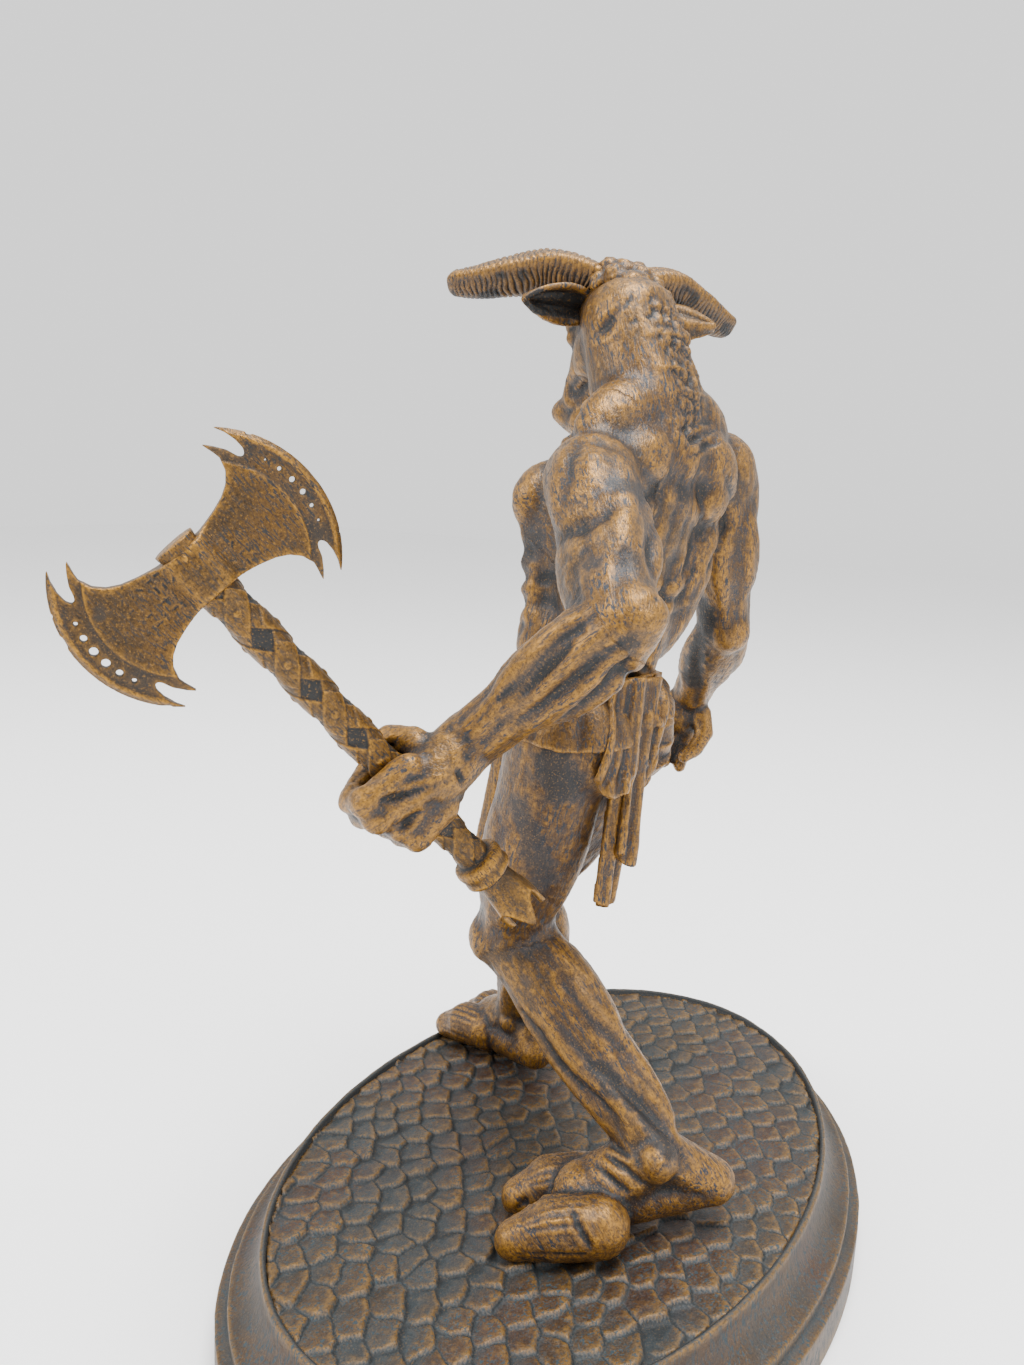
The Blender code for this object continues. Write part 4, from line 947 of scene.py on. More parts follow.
def loincloth(body):
    turns = [math.tau * step / 16.0 for step in range(17)]
    waist = [hip_ring(angle, 152.5, -1.2) for angle in turns]
    wrap_hem = [hip_ring(angle, 139.0 - 5.0 * math.cos(angle + 2.4), 1.0) for angle in turns]
    drape("hip_wrap", body, waist, wrap_hem, 16.0, 0.5, 0.2, columns=300, rows=30, thick=1.6)
    drape("rear_panel", body, ((17, 17, 151), (7, 20, 151), (-3, 17.5, 151), (-8, 12, 151)),
          ((21, 15, 89), (15, 14, 86), (11, 13.5, 93), (8, 11, 100)), 3.4, 1.5, 0.1)
    drape("rear_flap", body, ((14, 19, 152.0), (6, 21.5, 152.0), (-1, 20, 152.0), (-7, 14.5, 152)),
          ((19, 19, 104), (15, 20, 99.5), (11, 18, 104), (7, 14, 111)), 2.6, 1.6, 0.45, crown=1.2)
    drape("left_strip", body, ((21.5, 16, 152.5), (17.5, 19, 153), (12.5, 21.5, 153)),
          ((32, 16.5, 124.5), (28, 20.5, 122), (21.5, 23.5, 123)), 3.0, 0.7, 0.3, rows=60, columns=70,
          thick=2.4, crown=2.2, rounding=0.14)
    drape("front_flap", body, ((-4, -18, 151), (3, -19, 151.5), (12, -18.5, 151.5), (20, -15.5, 151)),
          ((-6, -26, 92), (2, -29, 88), (11, -29, 88), (19, -26, 92)), 5.0, 1.4, 0.0)
    drape("right_strip", body, ((-14, 8, 152.5), (-14.5, 1, 153), (-12, -6, 153)),
          ((-23, 9, 122), (-24.5, 1, 120), (-21.5, -7, 122)), 3.0, 0.7, 0.3, rows=60, columns=70,
          crown=1.5, rounding=0.14)


# Ears and hair

EAR_LENGTH = 21.0
EAR_HALF_WIDTH = 5.6
EAR_HOLLOW = 4.2


def ear(side):
    """A cupped leaf of an ear under the horn, its hollow painted dark: wash, and painted shade under the horn.
    """
    root = head_point(8.0 * side, -1, 2.5)
    tip = head_point(29.0 * side, -3, 0.0)
    run = (tip - root).normalized()
    opening = -HEAD_LEVEL * side - UP * 0.35
    opening = (opening - run * run.dot(opening)).normalized()
    across = run.cross(opening)
    bm = bmesh.new()
    bmesh.ops.create_grid(bm, x_segments=36, y_segments=24, size=0.5)
    for vert in bm.verts:
        u = vert.co.x + 0.5
        v = 2.0 * vert.co.y
        half = EAR_HALF_WIDTH * math.sin(math.pi * min(0.16 + 0.84 * u, 0.999)) ** 0.75
        deep = EAR_HOLLOW * (1.0 - 0.5 * u) * (abs(v) ** 2.4 - 0.75)
        rise = deep + 0.5 * math.sin(7.0 * v)
        vert.co = root + run * (EAR_LENGTH * u) + across * (half * v) + opening * rise
    mesh = evaluated(new_mesh("ear", bm), ("SOLIDIFY", {"thickness": 1.7, "offset": 0.0}),
                     ("SUBSURF", {"levels": 1, "render_levels": 1}))
    skin = Skin(mesh)
    skin.lift(0.12 * lumps(skin.points, 1.5, 4.0))
    # The hollow that faces the opening is painted dark, as wash and as the shade under the horn
    facing = skin.normals @ np.array(opening)
    middle = np.abs((skin.points - np.array(root)) @ np.array(across)) < EAR_HALF_WIDTH * 0.62
    skin.stain_and_shade = np.where(middle, smoothstep(0.1, 0.6, facing), 0.0)
    paint_layers(skin, skin.points, 1.2)
    place_on_figure("left_ear" if side > 0 else "right_ear", skin.mesh)


HAIR_VOXEL = 0.42
LOCK_STEPS = 16
# Each lock's place on the head, to the side, the front and upwards, and its size
HAIR_LOCKS = ((0.0, -7.0, 13.0, 4.6), (4.5, -9.0, 11.0, 3.8), (-4.5, -8.5, 11.5, 4.0), (1.5, -12.0, 8.0, 4.2),
              (-3.0, -13.0, 5.5, 4.4), (5.0, -12.5, 5.0, 3.8), (-6.5, -12.0, 1.5, 4.0), (1.0, -14.5, 0.5, 4.6),
              (5.5, -13.0, -2.5, 3.6), (-3.5, -14.5, -4.5, 4.0), (-8.5, -9.5, 6.0, 3.6), (8.0, -8.0, 6.0, 3.4))


def hair():
    """Tight locks over the back of the crown and down the nape, each a small coil."""
    bm = bmesh.new()
    for index, (out, front, rise, size) in enumerate(HAIR_LOCKS):
        middle = head_point(out, front, rise)
        outward = (middle - HEAD).normalized()
        turn = frame_along(outward, UP)
        coil = []
        for step in range(LOCK_STEPS):
            angle = step * 0.55 + index
            reach = size * (0.62 - 0.03 * step)
            off = Vector((math.cos(angle) * reach, math.sin(angle) * reach, 0.12 * step))
            coil.append((middle + turn @ off, 1.5 - 0.03 * step))
        chain(bm, coil)
        ball(bm, middle - outward * 1.5, (size * 0.9,) * 3)
    skin = clay(bm, HAIR_VOXEL, 2, ())
    skin.lift(0.1 * lumps(skin.points, 1.2, 4.0))
    paint_layers(skin, skin.points, 1.3)
    place_on_figure("hair", skin.mesh)


# The horns

HORN = ((2.0, -3.0, 6.0, 5.5), (9.0, -2.0, 11.5, 7.0), (19.0, 1.0, 15.5, 7.4), (29.0, 5.5, 16.0, 6.6),
        (38.0, 10.5, 16.8, 5.4), (45.5, 14.5, 18.6, 3.9))
HORN_RINGS = 200
HORN_SIDES = 56
HORN_RIDGE = 1.5


def horn(side):
    """A short horn with a keel along its back and ragged cross ridges."""
    line = through([head_point(out * side, front, rise) for out, front, rise, _ in HORN], HORN_RINGS)
    thick = through([(radius, 0.0, 0.0) for _, _, _, radius in HORN], HORN_RINGS)
    keel = (UP * 0.35 - HEAD_LEVEL).normalized()
    bm = bmesh.new()
    bmesh.ops.create_grid(bm, x_segments=HORN_RINGS - 1, y_segments=HORN_SIDES, size=0.5)
    length = sum((b - a).length for a, b in zip(line, line[1:]))
    for vert in bm.verts:
        ring = round((vert.co.x + 0.5) * (HORN_RINGS - 1))
        turn = (vert.co.y + 0.5) * math.tau
        ahead = (line[min(ring + 1, HORN_RINGS - 1)] - line[max(ring - 1, 0)]).normalized()
        back = (keel - ahead * keel.dot(ahead)).normalized()
        over = ahead.cross(back)
        share = ring / (HORN_RINGS - 1)
        radius = thick[ring].x * math.sqrt(max(1.0 - max(share - 0.93, 0.0) ** 2 / 0.0049, 0.02))
        ragged = math.sin(turn * 3.0 + ring * 0.11) * 0.22 + math.sin(turn * 7.0 - ring * 0.05) * 0.12
        phase = share * length / HORN_RIDGE + ragged
        groove = (0.5 + 0.5 * math.cos(phase * math.tau)) ** 4
        keeled = max(math.cos(turn), 0.0) ** 14
        low = max(-math.cos(turn), 0.0)
        radius *= 0.88 + 0.26 * keeled - 0.05 * low
        radius -= (0.5 - 0.25 * keeled) * groove * (1.0 - share ** 6)
        vert.co = line[ring] + back * math.cos(turn) * radius + over * math.sin(turn) * radius * 0.98
    bmesh.ops.remove_doubles(bm, verts=bm.verts[:], dist=MERGE)
    bmesh.ops.holes_fill(bm, edges=[edge for edge in bm.edges if edge.is_boundary], sides=0)
    bmesh.ops.recalc_face_normals(bm, faces=bm.faces[:])
    skin = Skin(new_mesh("horn", bm))
    skin.lift(0.12 * lumps(skin.points, 1.5, 4.0))
    # The horn's undersides are painted dark as shade, in ragged patches
    under = smoothstep(0.0, 0.6, -skin.normals[:, 2])
    skin.stain_and_shade = under * (0.55 + 0.45 * smoothstep(-0.1, 0.4, lumps(skin.points, 3.0, 14.0)))
    paint_layers(skin, skin.points, 1.3)
    place_on_figure("left_horn" if side > 0 else "right_horn", skin.mesh)


# The axe, worked along +Z in millimetres with its head's middle at the origin

GRIP_FROM_HEAD = 69.7
HAFT_DIAMETER = 9.8
HAFT_END_DIAMETER = 8.4
HAFT_TOP = 7.7
HAFT_FOOT = -94.8
HAFT_ROWS = 300
HAFT_SIDES = 112
STRAP_REPEAT = 15.6
STRAP_SHIFT = 4.3
COLLAR_LENGTH = 6.0
COLLAR_DIAMETER = 12.6
POMMEL_LENGTH = 9.0
POMMEL_DIAMETER = 13.0
PRONG_LENGTH = 7.0
BLADE_SPAN = 63.0
BLADE_LENGTH = 40.6
BLADE_WAIST = 12.2
BLADE_THICKNESS = 2.6
BLADE_VOXEL = 0.3
EDGE_RADIUS = 26.7
HOLE_INSET = 3.9
HOLE_DIAMETERS = (1.2, 1.6, 2.0, 2.0, 1.6, 1.1)
HOLE_STEP = math.radians(8.6)
RUNE_PITCH = 2.3


def lay_axe(mesh):
    """From the axe's own millimetres to its place in the fist, in metres."""
    across = BLADE_ACROSS - HAFT_AXIS * BLADE_ACROSS.dot(HAFT_AXIS)
    turn = frame_along(HAFT_AXIS, HAFT_AXIS.cross(across)).to_4x4()
    centre = GRIP * MM + UP * FOOT_LEVEL
    mesh.transform(Matrix.Translation(centre) @ turn @ Matrix.Scale(MM, 4)
                   @ Matrix.Translation((0.0, 0.0, GRIP_FROM_HEAD)))


def strap_relief(angle, height):
    """Crossed straps: how far they stand proud, and 1 in the sunk diamonds between them."""
    across = angle / (math.pi / 2.0)
    along = (height - STRAP_SHIFT) / (STRAP_REPEAT / 2.0)
    first = across + along
    second = across - along
    from_first = np.abs(np.mod(first, 2.0) - 1.0)
    from_second = np.abs(np.mod(second, 2.0) - 1.0)
    on_first = 1.0 - smoothstep(0.5, 0.56, from_first)
    on_second = 1.0 - smoothstep(0.5, 0.56, from_second)
    over = np.mod(np.floor(first / 2.0) + np.floor(second / 2.0), 2.0)
    crown = 0.12 * (1.0 - from_first ** 2) * on_first + 0.12 * (1.0 - from_second ** 2) * on_second
    rise = np.maximum(on_first * (0.55 + 0.4 * over), on_second * (0.95 - 0.4 * over)) + crown
    sunk = (1.0 - on_first) * (1.0 - on_second)
    stud_gap = np.hypot(np.abs(np.mod(first, 2.0) - 1.0), np.abs(np.mod(second, 2.0) - 1.0))
    stud = np.sqrt(np.clip(1.0 - (stud_gap / 0.17) ** 2, 0.0, 1.0))
    return rise + 0.65 * stud - 1.0, sunk


def haft():
    rows = [HAFT_TOP + (HAFT_FOOT - HAFT_TOP) * step / HAFT_ROWS for step in range(HAFT_ROWS + 1)]
    neck = HAFT_END_DIAMETER / 2.0
    collar = COLLAR_DIAMETER / 2.0
    flare = POMMEL_DIAMETER / 2.0
    low = HAFT_FOOT - COLLAR_LENGTH
    tail = [(HAFT_FOOT - 0.1, collar - 0.8), (HAFT_FOOT - 0.5, collar - 0.1), (HAFT_FOOT - 1.0, collar)]
    tail += [(HAFT_FOOT - 1.0 - step * 0.5, collar + 0.15 * math.sin(step * 0.8)) for step in range(1, 10)]
    tail += [(low, collar - 0.2), (low - 0.4, collar - 0.9), (low - 0.6, neck)]
    cup = [(low - 0.6 - POMMEL_LENGTH * share, neck + (flare - neck) * share ** 1.4)
           for share in [step / 22.0 for step in range(1, 23)]]
    inner = [(z, radius - 1.5) for z, radius in reversed(cup[8:])] + [(cup[8][0], 0.6)]
    ends = tail + cup + inner
    count = len(rows) + len(ends)
    bm = bmesh.new()
    bmesh.ops.create_grid(bm, x_segments=count - 1, y_segments=HAFT_SIDES, size=0.5)
    order = sorted(bm.verts, key=lambda vert: vert.index)
    row_of = np.array([round((vert.co.x + 0.5) * (count - 1)) for vert in order])
    angle = np.array([(vert.co.y + 0.5) * math.tau for vert in order])
    height = np.array([(rows + [z for z, _ in ends])[row] for row in row_of])
    share = np.clip(row_of / HAFT_ROWS, 0.0, 1.0)
    radius = (HAFT_DIAMETER + (HAFT_END_DIAMETER - HAFT_DIAMETER) * share) / 2.0
    rise, _ = strap_relief(angle, height)
    near_end = smoothstep(0.0, 3.0, HAFT_TOP - height) * smoothstep(0.0, 2.0, height - HAFT_FOOT)
    radius = radius + rise * 0.55 * near_end
    for index, (_, wide) in enumerate(ends):
        radius[row_of == HAFT_ROWS + 1 + index] = wide
    pommel = row_of > HAFT_ROWS + len(tail)
    depth = np.clip((low - 0.6 - height) / POMMEL_LENGTH, 0.0, 1.0)
    prong = (0.5 + 0.5 * np.cos(4.0 * angle)) ** 1.3
    height = height - np.where(pommel, PRONG_LENGTH * depth ** 2.5 * prong, 0.0)
    radius = radius - np.where(pommel, 0.9 * depth ** 3 * prong, 0.0)
    for vert, turn, wide, z in zip(order, angle, radius, height):
        vert.co = (wide * math.cos(turn), wide * math.sin(turn), z)
    bmesh.ops.remove_doubles(bm, verts=bm.verts[:], dist=MERGE)
    bmesh.ops.holes_fill(bm, edges=[edge for edge in bm.edges if edge.is_boundary], sides=0)
    bmesh.ops.recalc_face_normals(bm, faces=bm.faces[:])
    skin = Skin(new_mesh("haft", bm))
    angle = np.mod(np.arctan2(skin.points[:, 1], skin.points[:, 0]), math.tau)
    _, sunk = strap_relief(angle, skin.points[:, 2])
    wrapped = (skin.points[:, 2] > HAFT_FOOT + 1.0) & (skin.points[:, 2] < -BLADE_WAIST / 2.0)
    rough = np.where(wrapped, sunk, 0.0) * 0.15 * lumps(skin.points, 0.8, 16.0)
    skin.lift(0.07 * lumps(skin.points, 1.4, 15.0) + rough)
    skin.stain_and_shade = np.where(wrapped, 0.95 * sunk, 0.0)
    paint_layers(skin, skin.points, 1.2)
    lay_axe(skin.mesh)
    place_piece("axe_haft", skin.mesh, GILT, "battle_axe")


def edge_arc(share):
    """A point of the cutting edge, where a share of 1 is its upper tip and -1 its lower tip."""
    reach = math.asin(BLADE_LENGTH / 2.0 / EDGE_RADIUS)
    middle = BLADE_SPAN / 2.0 - EDGE_RADIUS
    return middle + EDGE_RADIUS * math.cos(reach * share), EDGE_RADIUS * math.sin(reach * share)


def blade_outline():
    waist = BLADE_WAIST / 2.0
    tip = BLADE_LENGTH / 2.0
    reach = BLADE_SPAN / 2.0
    quarter = [(0.0, waist - 0.3), (0.17 * reach, waist - 0.1), (0.34 * reach, waist + 0.06 * tip),
               (0.44 * reach, waist + 0.11 * tip), (0.52 * reach, waist + 0.18 * tip),
               (0.58 * reach, waist + 0.28 * tip), (0.61 * reach, waist + 0.42 * tip), (0.6 * reach, 0.8 * tip),
               (0.575 * reach, 0.94 * tip), (0.63 * reach, 0.84 * tip), (0.68 * reach, 0.73 * tip),
               (0.705 * reach, 0.62 * tip), (0.725 * reach, 0.58 * tip), (0.75 * reach, 0.585 * tip),
               (0.768 * reach, 0.64 * tip), (0.765 * reach, 0.76 * tip), (0.745 * reach, 0.88 * tip)]
    quarter += [edge_arc(share) for share in (1.0, 0.93, 0.85, 0.75, 0.65, 0.55, 0.45, 0.35, 0.25, 0.15, 0.05)]
    half = quarter + [(x, -z) for x, z in reversed(quarter)]
    return half + [(-x, -z) for x, z in half]


def add_loop(curve, points):
    spline = curve.splines.new("POLY")
    spline.points.add(len(points) - 1)
    for point, (x, z) in zip(spline.points, points):
        point.co = (x, z, 0.0, 1.0)
    spline.use_cyclic_u = True


def dashes(x, z, pitch, seed):
    """Rows of short strokes in many directions: 1 on a stroke, 0 beside it."""
    across = np.round(x / pitch)
    along = np.round(z / (pitch * 1.15))
    cell = np.stack((across, along, np.zeros_like(x)), 1)
    turn = np.floor(scatter(cell, seed) * 5.0) * math.pi / 4.0
    off_x = x - across * pitch - (scatter(cell, seed + 1.0) - 0.5) * 0.5
    off_z = z - along * pitch * 1.15 - (scatter(cell, seed + 2.0) - 0.5) * 0.5
    length = 0.38 + 0.35 * scatter(cell, seed + 3.0)
    run = np.clip(off_x * np.cos(turn) + off_z * np.sin(turn), -length, length)
    gap = np.hypot(off_x - run * np.cos(turn), off_z - run * np.sin(turn))
    return (1.0 - smoothstep(0.12, 0.36, gap)) * (scatter(cell, seed + 4.0) > 0.15)


def blade():
    curve = bpy.data.curves.new("blades", "CURVE")
    curve.dimensions = "2D"
    curve.fill_mode = "BOTH"
    curve.extrude = BLADE_THICKNESS / 2.0
    add_loop(curve, blade_outline())
    middle = BLADE_SPAN / 2.0 - EDGE_RADIUS
    for side in (-1, 1):
        for hole, diameter in enumerate(HOLE_DIAMETERS):
            angle = (hole - (len(HOLE_DIAMETERS) - 1) / 2.0) * HOLE_STEP
            x = side * (middle + (EDGE_RADIUS - HOLE_INSET) * math.cos(angle))
            z = (EDGE_RADIUS - HOLE_INSET) * math.sin(angle)
            radius = diameter / 2.0 * (1.0 if side < 0 else 0.7)
            turns = [math.tau * step / 20.0 for step in range(20)]
            add_loop(curve, [(x + radius * math.cos(turn), z + radius * math.sin(turn)) for turn in turns])
    flat = evaluated(curve)
    flat.transform(Matrix.Rotation(math.pi / 2.0, 4, "X"))
    weld = ("WELD", {"merge_threshold": 0.01})
    remesh = ("REMESH", {"mode": "VOXEL", "voxel_size": BLADE_VOXEL})
    skin = Skin(evaluated(evaluated(flat, weld), remesh))
    skin.points = skin.relaxed(skin.points, 2)
    x, z = np.abs(skin.points[:, 0]), skin.points[:, 2]
    from_edge = EDGE_RADIUS - np.hypot(x - middle, z)
    from_edge = np.where(x > middle, from_edge, EDGE_RADIUS)
    half = np.full(len(x), 1.0)
    half += 0.45 * smoothstep(6.6, 7.2, from_edge)
    half += 0.35 * (1.0 - smoothstep(1.5, 2.1, from_edge)) * smoothstep(0.0, 1.4, from_edge)
    half -= 0.55 * (1.0 - smoothstep(0.0, 1.3, from_edge))
    half += 4.0 * np.exp(-(x / 6.2) ** 4) * (1.0 - 0.15 * (z / (BLADE_WAIST / 2.0)) ** 2)
    side = np.clip(skin.points[:, 1] / (BLADE_THICKNESS / 2.0), -1.0, 1.0)
    runes = dashes(skin.points[:, 0], z, RUNE_PITCH, 41.0) * smoothstep(7.4, 8.2, from_edge)
    runes *= np.exp(-(x / 17.0) ** 6) * smoothstep(-0.25, 0.1, lumps(skin.points, 9.0, 42.0) + 0.12)
    half -= 0.3 * runes
    rough = 0.07 * lumps(skin.points, 0.9, 43.0) + 0.08 * lumps(skin.points, 2.2, 44.0)
    skin.points[:, 1] = side * (half + np.abs(side) * rough)
    nick = smoothstep(0.25, 0.75, lumps(skin.points * (1.0, 0.2, 1.0), 1.6, 45.0))
    outward = np.sign(skin.points[:, 0]) * (1.0 - smoothstep(0.0, 0.9, from_edge)) * nick * 0.4
    skin.points[:, 0] -= outward
    skin.renew()
    channel = smoothstep(1.9, 2.5, from_edge) * (1.0 - smoothstep(6.2, 7.0, from_edge))
    pooled = 0.55 * channel * (0.6 + 0.8 * lumps(skin.points, 4.0, 46.0))
    skin.stain_and_shade = np.clip(0.75 * runes + pooled, 0.0, 1.0)
    paint_layers(skin, skin.points, 1.1)
    lay_axe(skin.mesh)
    place_piece("axe_head", skin.mesh, GILT, "battle_axe")


# The plinth

PLINTH_SIDES = 256
STEP_HEIGHT = 12.8
STEP_LEDGE = 3.4
COVE_HEIGHT = 12.4
COVE_DEPTH = 8.2
RIM_WIDTH = 2.2
PAVING_DROP = 1.0
PAVING_STEP = 0.62
PAVING_LAP = 0.25
PAVING_SKIRT = 2.5
PAVING_UNDER_RIM = 0.35
COBBLE_LENGTH = 9.6
COBBLE_ROW = 8.2
COBBLE_RISE = 1.0
COBBLE_TURN = math.radians(38.0)
HALF_LENGTH = PLINTH_HIGH.x / MM
HALF_WIDTH = PLINTH_HIGH.y / MM
PLINTH_HEIGHT = PLINTH_HIGH.z / MM


def moulding_profile():
    """Insets from the outline and heights, from the underside's edge up to the rim and down behind it."""
    foot = PLINTH_HEIGHT - COVE_HEIGHT
    rim = STEP_LEDGE + COVE_DEPTH
    points = [(0.8, 0.0), (0.15, 0.25), (0.0, 1.2)]
    points += [(0.0, 1.2 + (STEP_HEIGHT - 2.0) * step / 8.0) for step in range(1, 9)]
    points += [(0.25, STEP_HEIGHT - 0.25), (1.0, STEP_HEIGHT), (STEP_LEDGE - 0.4, STEP_HEIGHT + 0.1),
               (STEP_LEDGE, STEP_HEIGHT + 0.6), (STEP_LEDGE, foot - 0.6), (STEP_LEDGE + 0.3, foot - 0.1)]
    for step in range(1, 13):
        angle = step / 12.0 * math.pi / 2.0
        points.append((STEP_LEDGE + 0.3 + (COVE_DEPTH - 0.3) * math.sin(angle),
                       foot + (COVE_HEIGHT - 2.6) * (1.0 - math.cos(angle))))
    points += [(rim, PLINTH_HEIGHT - 1.4), (rim + 0.15, PLINTH_HEIGHT - 0.4), (rim + 0.6, PLINTH_HEIGHT),
               (rim + RIM_WIDTH - 0.5, PLINTH_HEIGHT - 0.05), (rim + RIM_WIDTH, PLINTH_HEIGHT - 0.5),
               (rim + RIM_WIDTH + 0.1, PLINTH_HEIGHT - PAVING_DROP - COBBLE_RISE - 1.0)]
    return points


def plinth_base():
    bm = bmesh.new()
    profile = moulding_profile()
    verts = [bm.verts.new((0.0, 0.0, 0.0))]
    verts += [bm.verts.new((HALF_LENGTH - inset, 0.0, height)) for inset, height in profile]
    verts.append(bm.verts.new((0.0, 0.0, profile[-1][1])))
    edges = [bm.edges.new(pair) for pair in zip(verts, verts[1:])]
    bmesh.ops.spin(bm, geom=verts + edges, cent=(0, 0, 0), axis=(0, 0, 1), angle=math.tau, steps=PLINTH_SIDES,
                   use_merge=True)
    bmesh.ops.remove_doubles(bm, verts=bm.verts[:], dist=MERGE)
    for vert in bm.verts:
        radius = math.hypot(vert.co.x, vert.co.y)
        if radius > 1.0:
            vert.co.y *= (radius - HALF_LENGTH + HALF_WIDTH) / radius
    bmesh.ops.recalc_face_normals(bm, faces=bm.faces[:])
    skin = Skin(new_mesh("plinth_base", bm))
    skin.points[:, 2] = np.maximum(skin.points[:, 2], 0.0)
    wear = 0.16 * lumps(skin.points, 9.0, 11.0) + 0.09 * lumps(skin.points, 2.6, 12.0)
    skin.lift(np.where(skin.points[:, 2] > 0.5, wear - 0.15, 0.0))
    skin.renew()
    small, wide = skin.hollows(2, 12)
    # The broad hollows of the moulding, such as the cove under the rim, are painted darker as shade, in ragged
    # patches
    attribute(skin.mesh, "wash", np.clip(wide * 0.7 + 0.25 * lumps(skin.points, 6.0, 13.0), 0.0, 1.0))
    attribute(skin.mesh, "wear", np.clip(-small * 3.0 - wide * 0.5, 0.0, 1.0))
    attribute(skin.mesh, "tint", np.clip(0.5 * lumps(skin.points, 20.0, 14.0), 0.0, 1.0))
    attribute(skin.mesh, "grain", skin.points, "FLOAT_VECTOR")
    skin.mesh.transform(Matrix.Scale(MM, 4))
    place_piece("plinth_base", skin.mesh, STONE, "plinth")


def cobbles(x, y):
    """Heights of a staggered paving of worn stones, and how near each point is to a joint."""
    flat = np.stack((x, y, np.zeros_like(x)), 1)
    x = x + 2.2 * lumps(flat, 26.0, 21.0) + 0.5 * lumps(flat, 5.0, 22.0)
    y = y + 2.2 * lumps(flat, 26.0, 23.0) + 0.5 * lumps(flat, 5.0, 24.0)
    along = (x * math.cos(COBBLE_TURN) + y * math.sin(COBBLE_TURN)) / COBBLE_LENGTH
    across = (y * math.cos(COBBLE_TURN) - x * math.sin(COBBLE_TURN)) / COBBLE_ROW
    best = np.full(len(x), 9.0)
    second = np.full(len(x), 9.0)
    height = np.zeros(len(x))
    tilt = np.zeros(len(x))
    for row in (-1, 0, 1):
        for column in (-1, 0, 1):
            line = np.round(across) + row
            shift = 0.5 * np.mod(line, 2.0)
            stone = np.round(along - shift) + column
            cell = np.stack((stone, line, np.zeros_like(line)), 1)
            middle_along = stone + shift + (scatter(cell, 1.0) - 0.5) * 0.6
            middle_across = line + (scatter(cell, 2.0) - 0.5) * 0.5
            off_along = along - middle_along
            off_across = across - middle_across
            gap = (np.abs(off_along) ** 3.0 + np.abs(off_across) ** 3.0) ** (1.0 / 3.0)
            closer = gap < best
            second = np.where(closer, best, np.minimum(second, gap))
            height = np.where(closer, scatter(cell, 3.0), height)
            lean = off_across * 1.1 + off_along * (0.7 + 0.7 * scatter(cell, 4.0))
            tilt = np.where(closer, lean, tilt)
            best = np.where(closer, gap, best)
    joint = second - best
    stone = smoothstep(0.0, 0.14, joint)
    rise = stone * (COBBLE_RISE * 0.55 + 0.3 * (height - 0.5) + tilt * 1.0)
    return rise, joint


def paving():
    half_length = HALF_LENGTH - STEP_LEDGE - COVE_DEPTH - RIM_WIDTH + PAVING_LAP
    half_width = HALF_WIDTH - STEP_LEDGE - COVE_DEPTH - RIM_WIDTH + PAVING_LAP
    bm = bmesh.new()
    bmesh.ops.create_grid(bm, x_segments=int(2.0 * half_length / PAVING_STEP),
                          y_segments=int(2.0 * half_width / PAVING_STEP), size=1.0,
                          matrix=Matrix.Diagonal((half_length, half_width, 1.0, 1.0)))
    outside = [vert for vert in bm.verts
               if (vert.co.x / half_length) ** 2 + (vert.co.y / half_width) ** 2 > 1.0]
    bmesh.ops.delete(bm, geom=outside, context="VERTS")
    rim = bmesh.ops.extrude_edge_only(bm, edges=[edge for edge in bm.edges if edge.is_boundary])
    skirt = [item for item in rim["geom"] if isinstance(item, bmesh.types.BMVert)]
    for vert in skirt:
        vert.co.z = -PAVING_SKIRT
    bmesh.ops.holes_fill(bm, edges=[edge for edge in bm.edges if edge.is_boundary], sides=0)
    bmesh.ops.recalc_face_normals(bm, faces=bm.faces[:])
    skin = Skin(new_mesh("paving", bm))
    top = skin.points[:, 2] > -1.0
    x, y = skin.points[:, 0], skin.points[:, 1]
    rise, joint = cobbles(x, y)
    flat = np.stack((x, y, np.zeros_like(x)), 1)
    rough = 0.22 * lumps(flat, 3.2, 31.0) + 0.14 * lumps(flat, 1.5, 32.0)
    floor = PLINTH_HEIGHT - PAVING_DROP - COBBLE_RISE
    skin.points[:, 2] = np.where(top, floor + 0.15 + rise + rough * smoothstep(0.0, 0.2, joint),
                                 skin.points[:, 2] + floor)
    skin.points[:, 2] = np.minimum(skin.points[:, 2], PLINTH_HEIGHT - PAVING_UNDER_RIM)
    skin.renew()
    small, wide = skin.hollows(3, 20)
    low = smoothstep(0.55, 0.1, rise)
    wash = 0.9 * (1.0 - smoothstep(0.0, 0.1, joint)) + small * 1.5
    pooled = 0.5 * smoothstep(0.2, 0.8, lumps(flat, 30.0, 35.0))
    wash += 0.6 * low * (0.45 + 0.55 * lumps(flat, 7.0, 33.0)) + pooled
    attribute(skin.mesh, "wash", np.where(top, np.clip(wash, 0.0, 1.0), 1.0))
    wear = -small * 6.0 - wide * 1.6 + 0.5 * smoothstep(0.7, 1.4, rise)
    attribute(skin.mesh, "wear", np.clip(wear, 0.0, 1.0))
    worn = 0.1 + 0.7 * lumps(flat, 24.0, 34.0)
    attribute(skin.mesh, "tint", np.clip(worn, 0.0, 1.0))
    attribute(skin.mesh, "grain", skin.points, "FLOAT_VECTOR")
    skin.mesh.transform(Matrix.Scale(MM, 4))
    place_piece("paving", skin.mesh, STONE, "plinth")


# Finishes

def node(tree, kind, links=None, **settings):
    """Adds a node; settings are its own, and links fill its inputs with values or other nodes' outputs."""
    made = tree.nodes.new("ShaderNode" + kind)
    for key, value in settings.items():
        setattr(made, key, value)
    for key, value in (links or {}).items():
        if isinstance(value, bpy.types.NodeSocket):
            tree.links.new(value, made.inputs[key])
        else:
            made.inputs[key].default_value = value
    return made


# Sizes of the paint's patterns in millimetres: broad drifts of tone, pools of wash, flecks and grit
DRIFT_SIZE = 14.3
BLOTCH_SIZE = 6.25
FLECK_SIZE = 1.11
# The real grit is finer, and is drawn this coarse so that it shows
GRIT_SIZE = 0.526
SCRATCH_DEPTH = 0.3
FLECK_DEPTH = 0.12


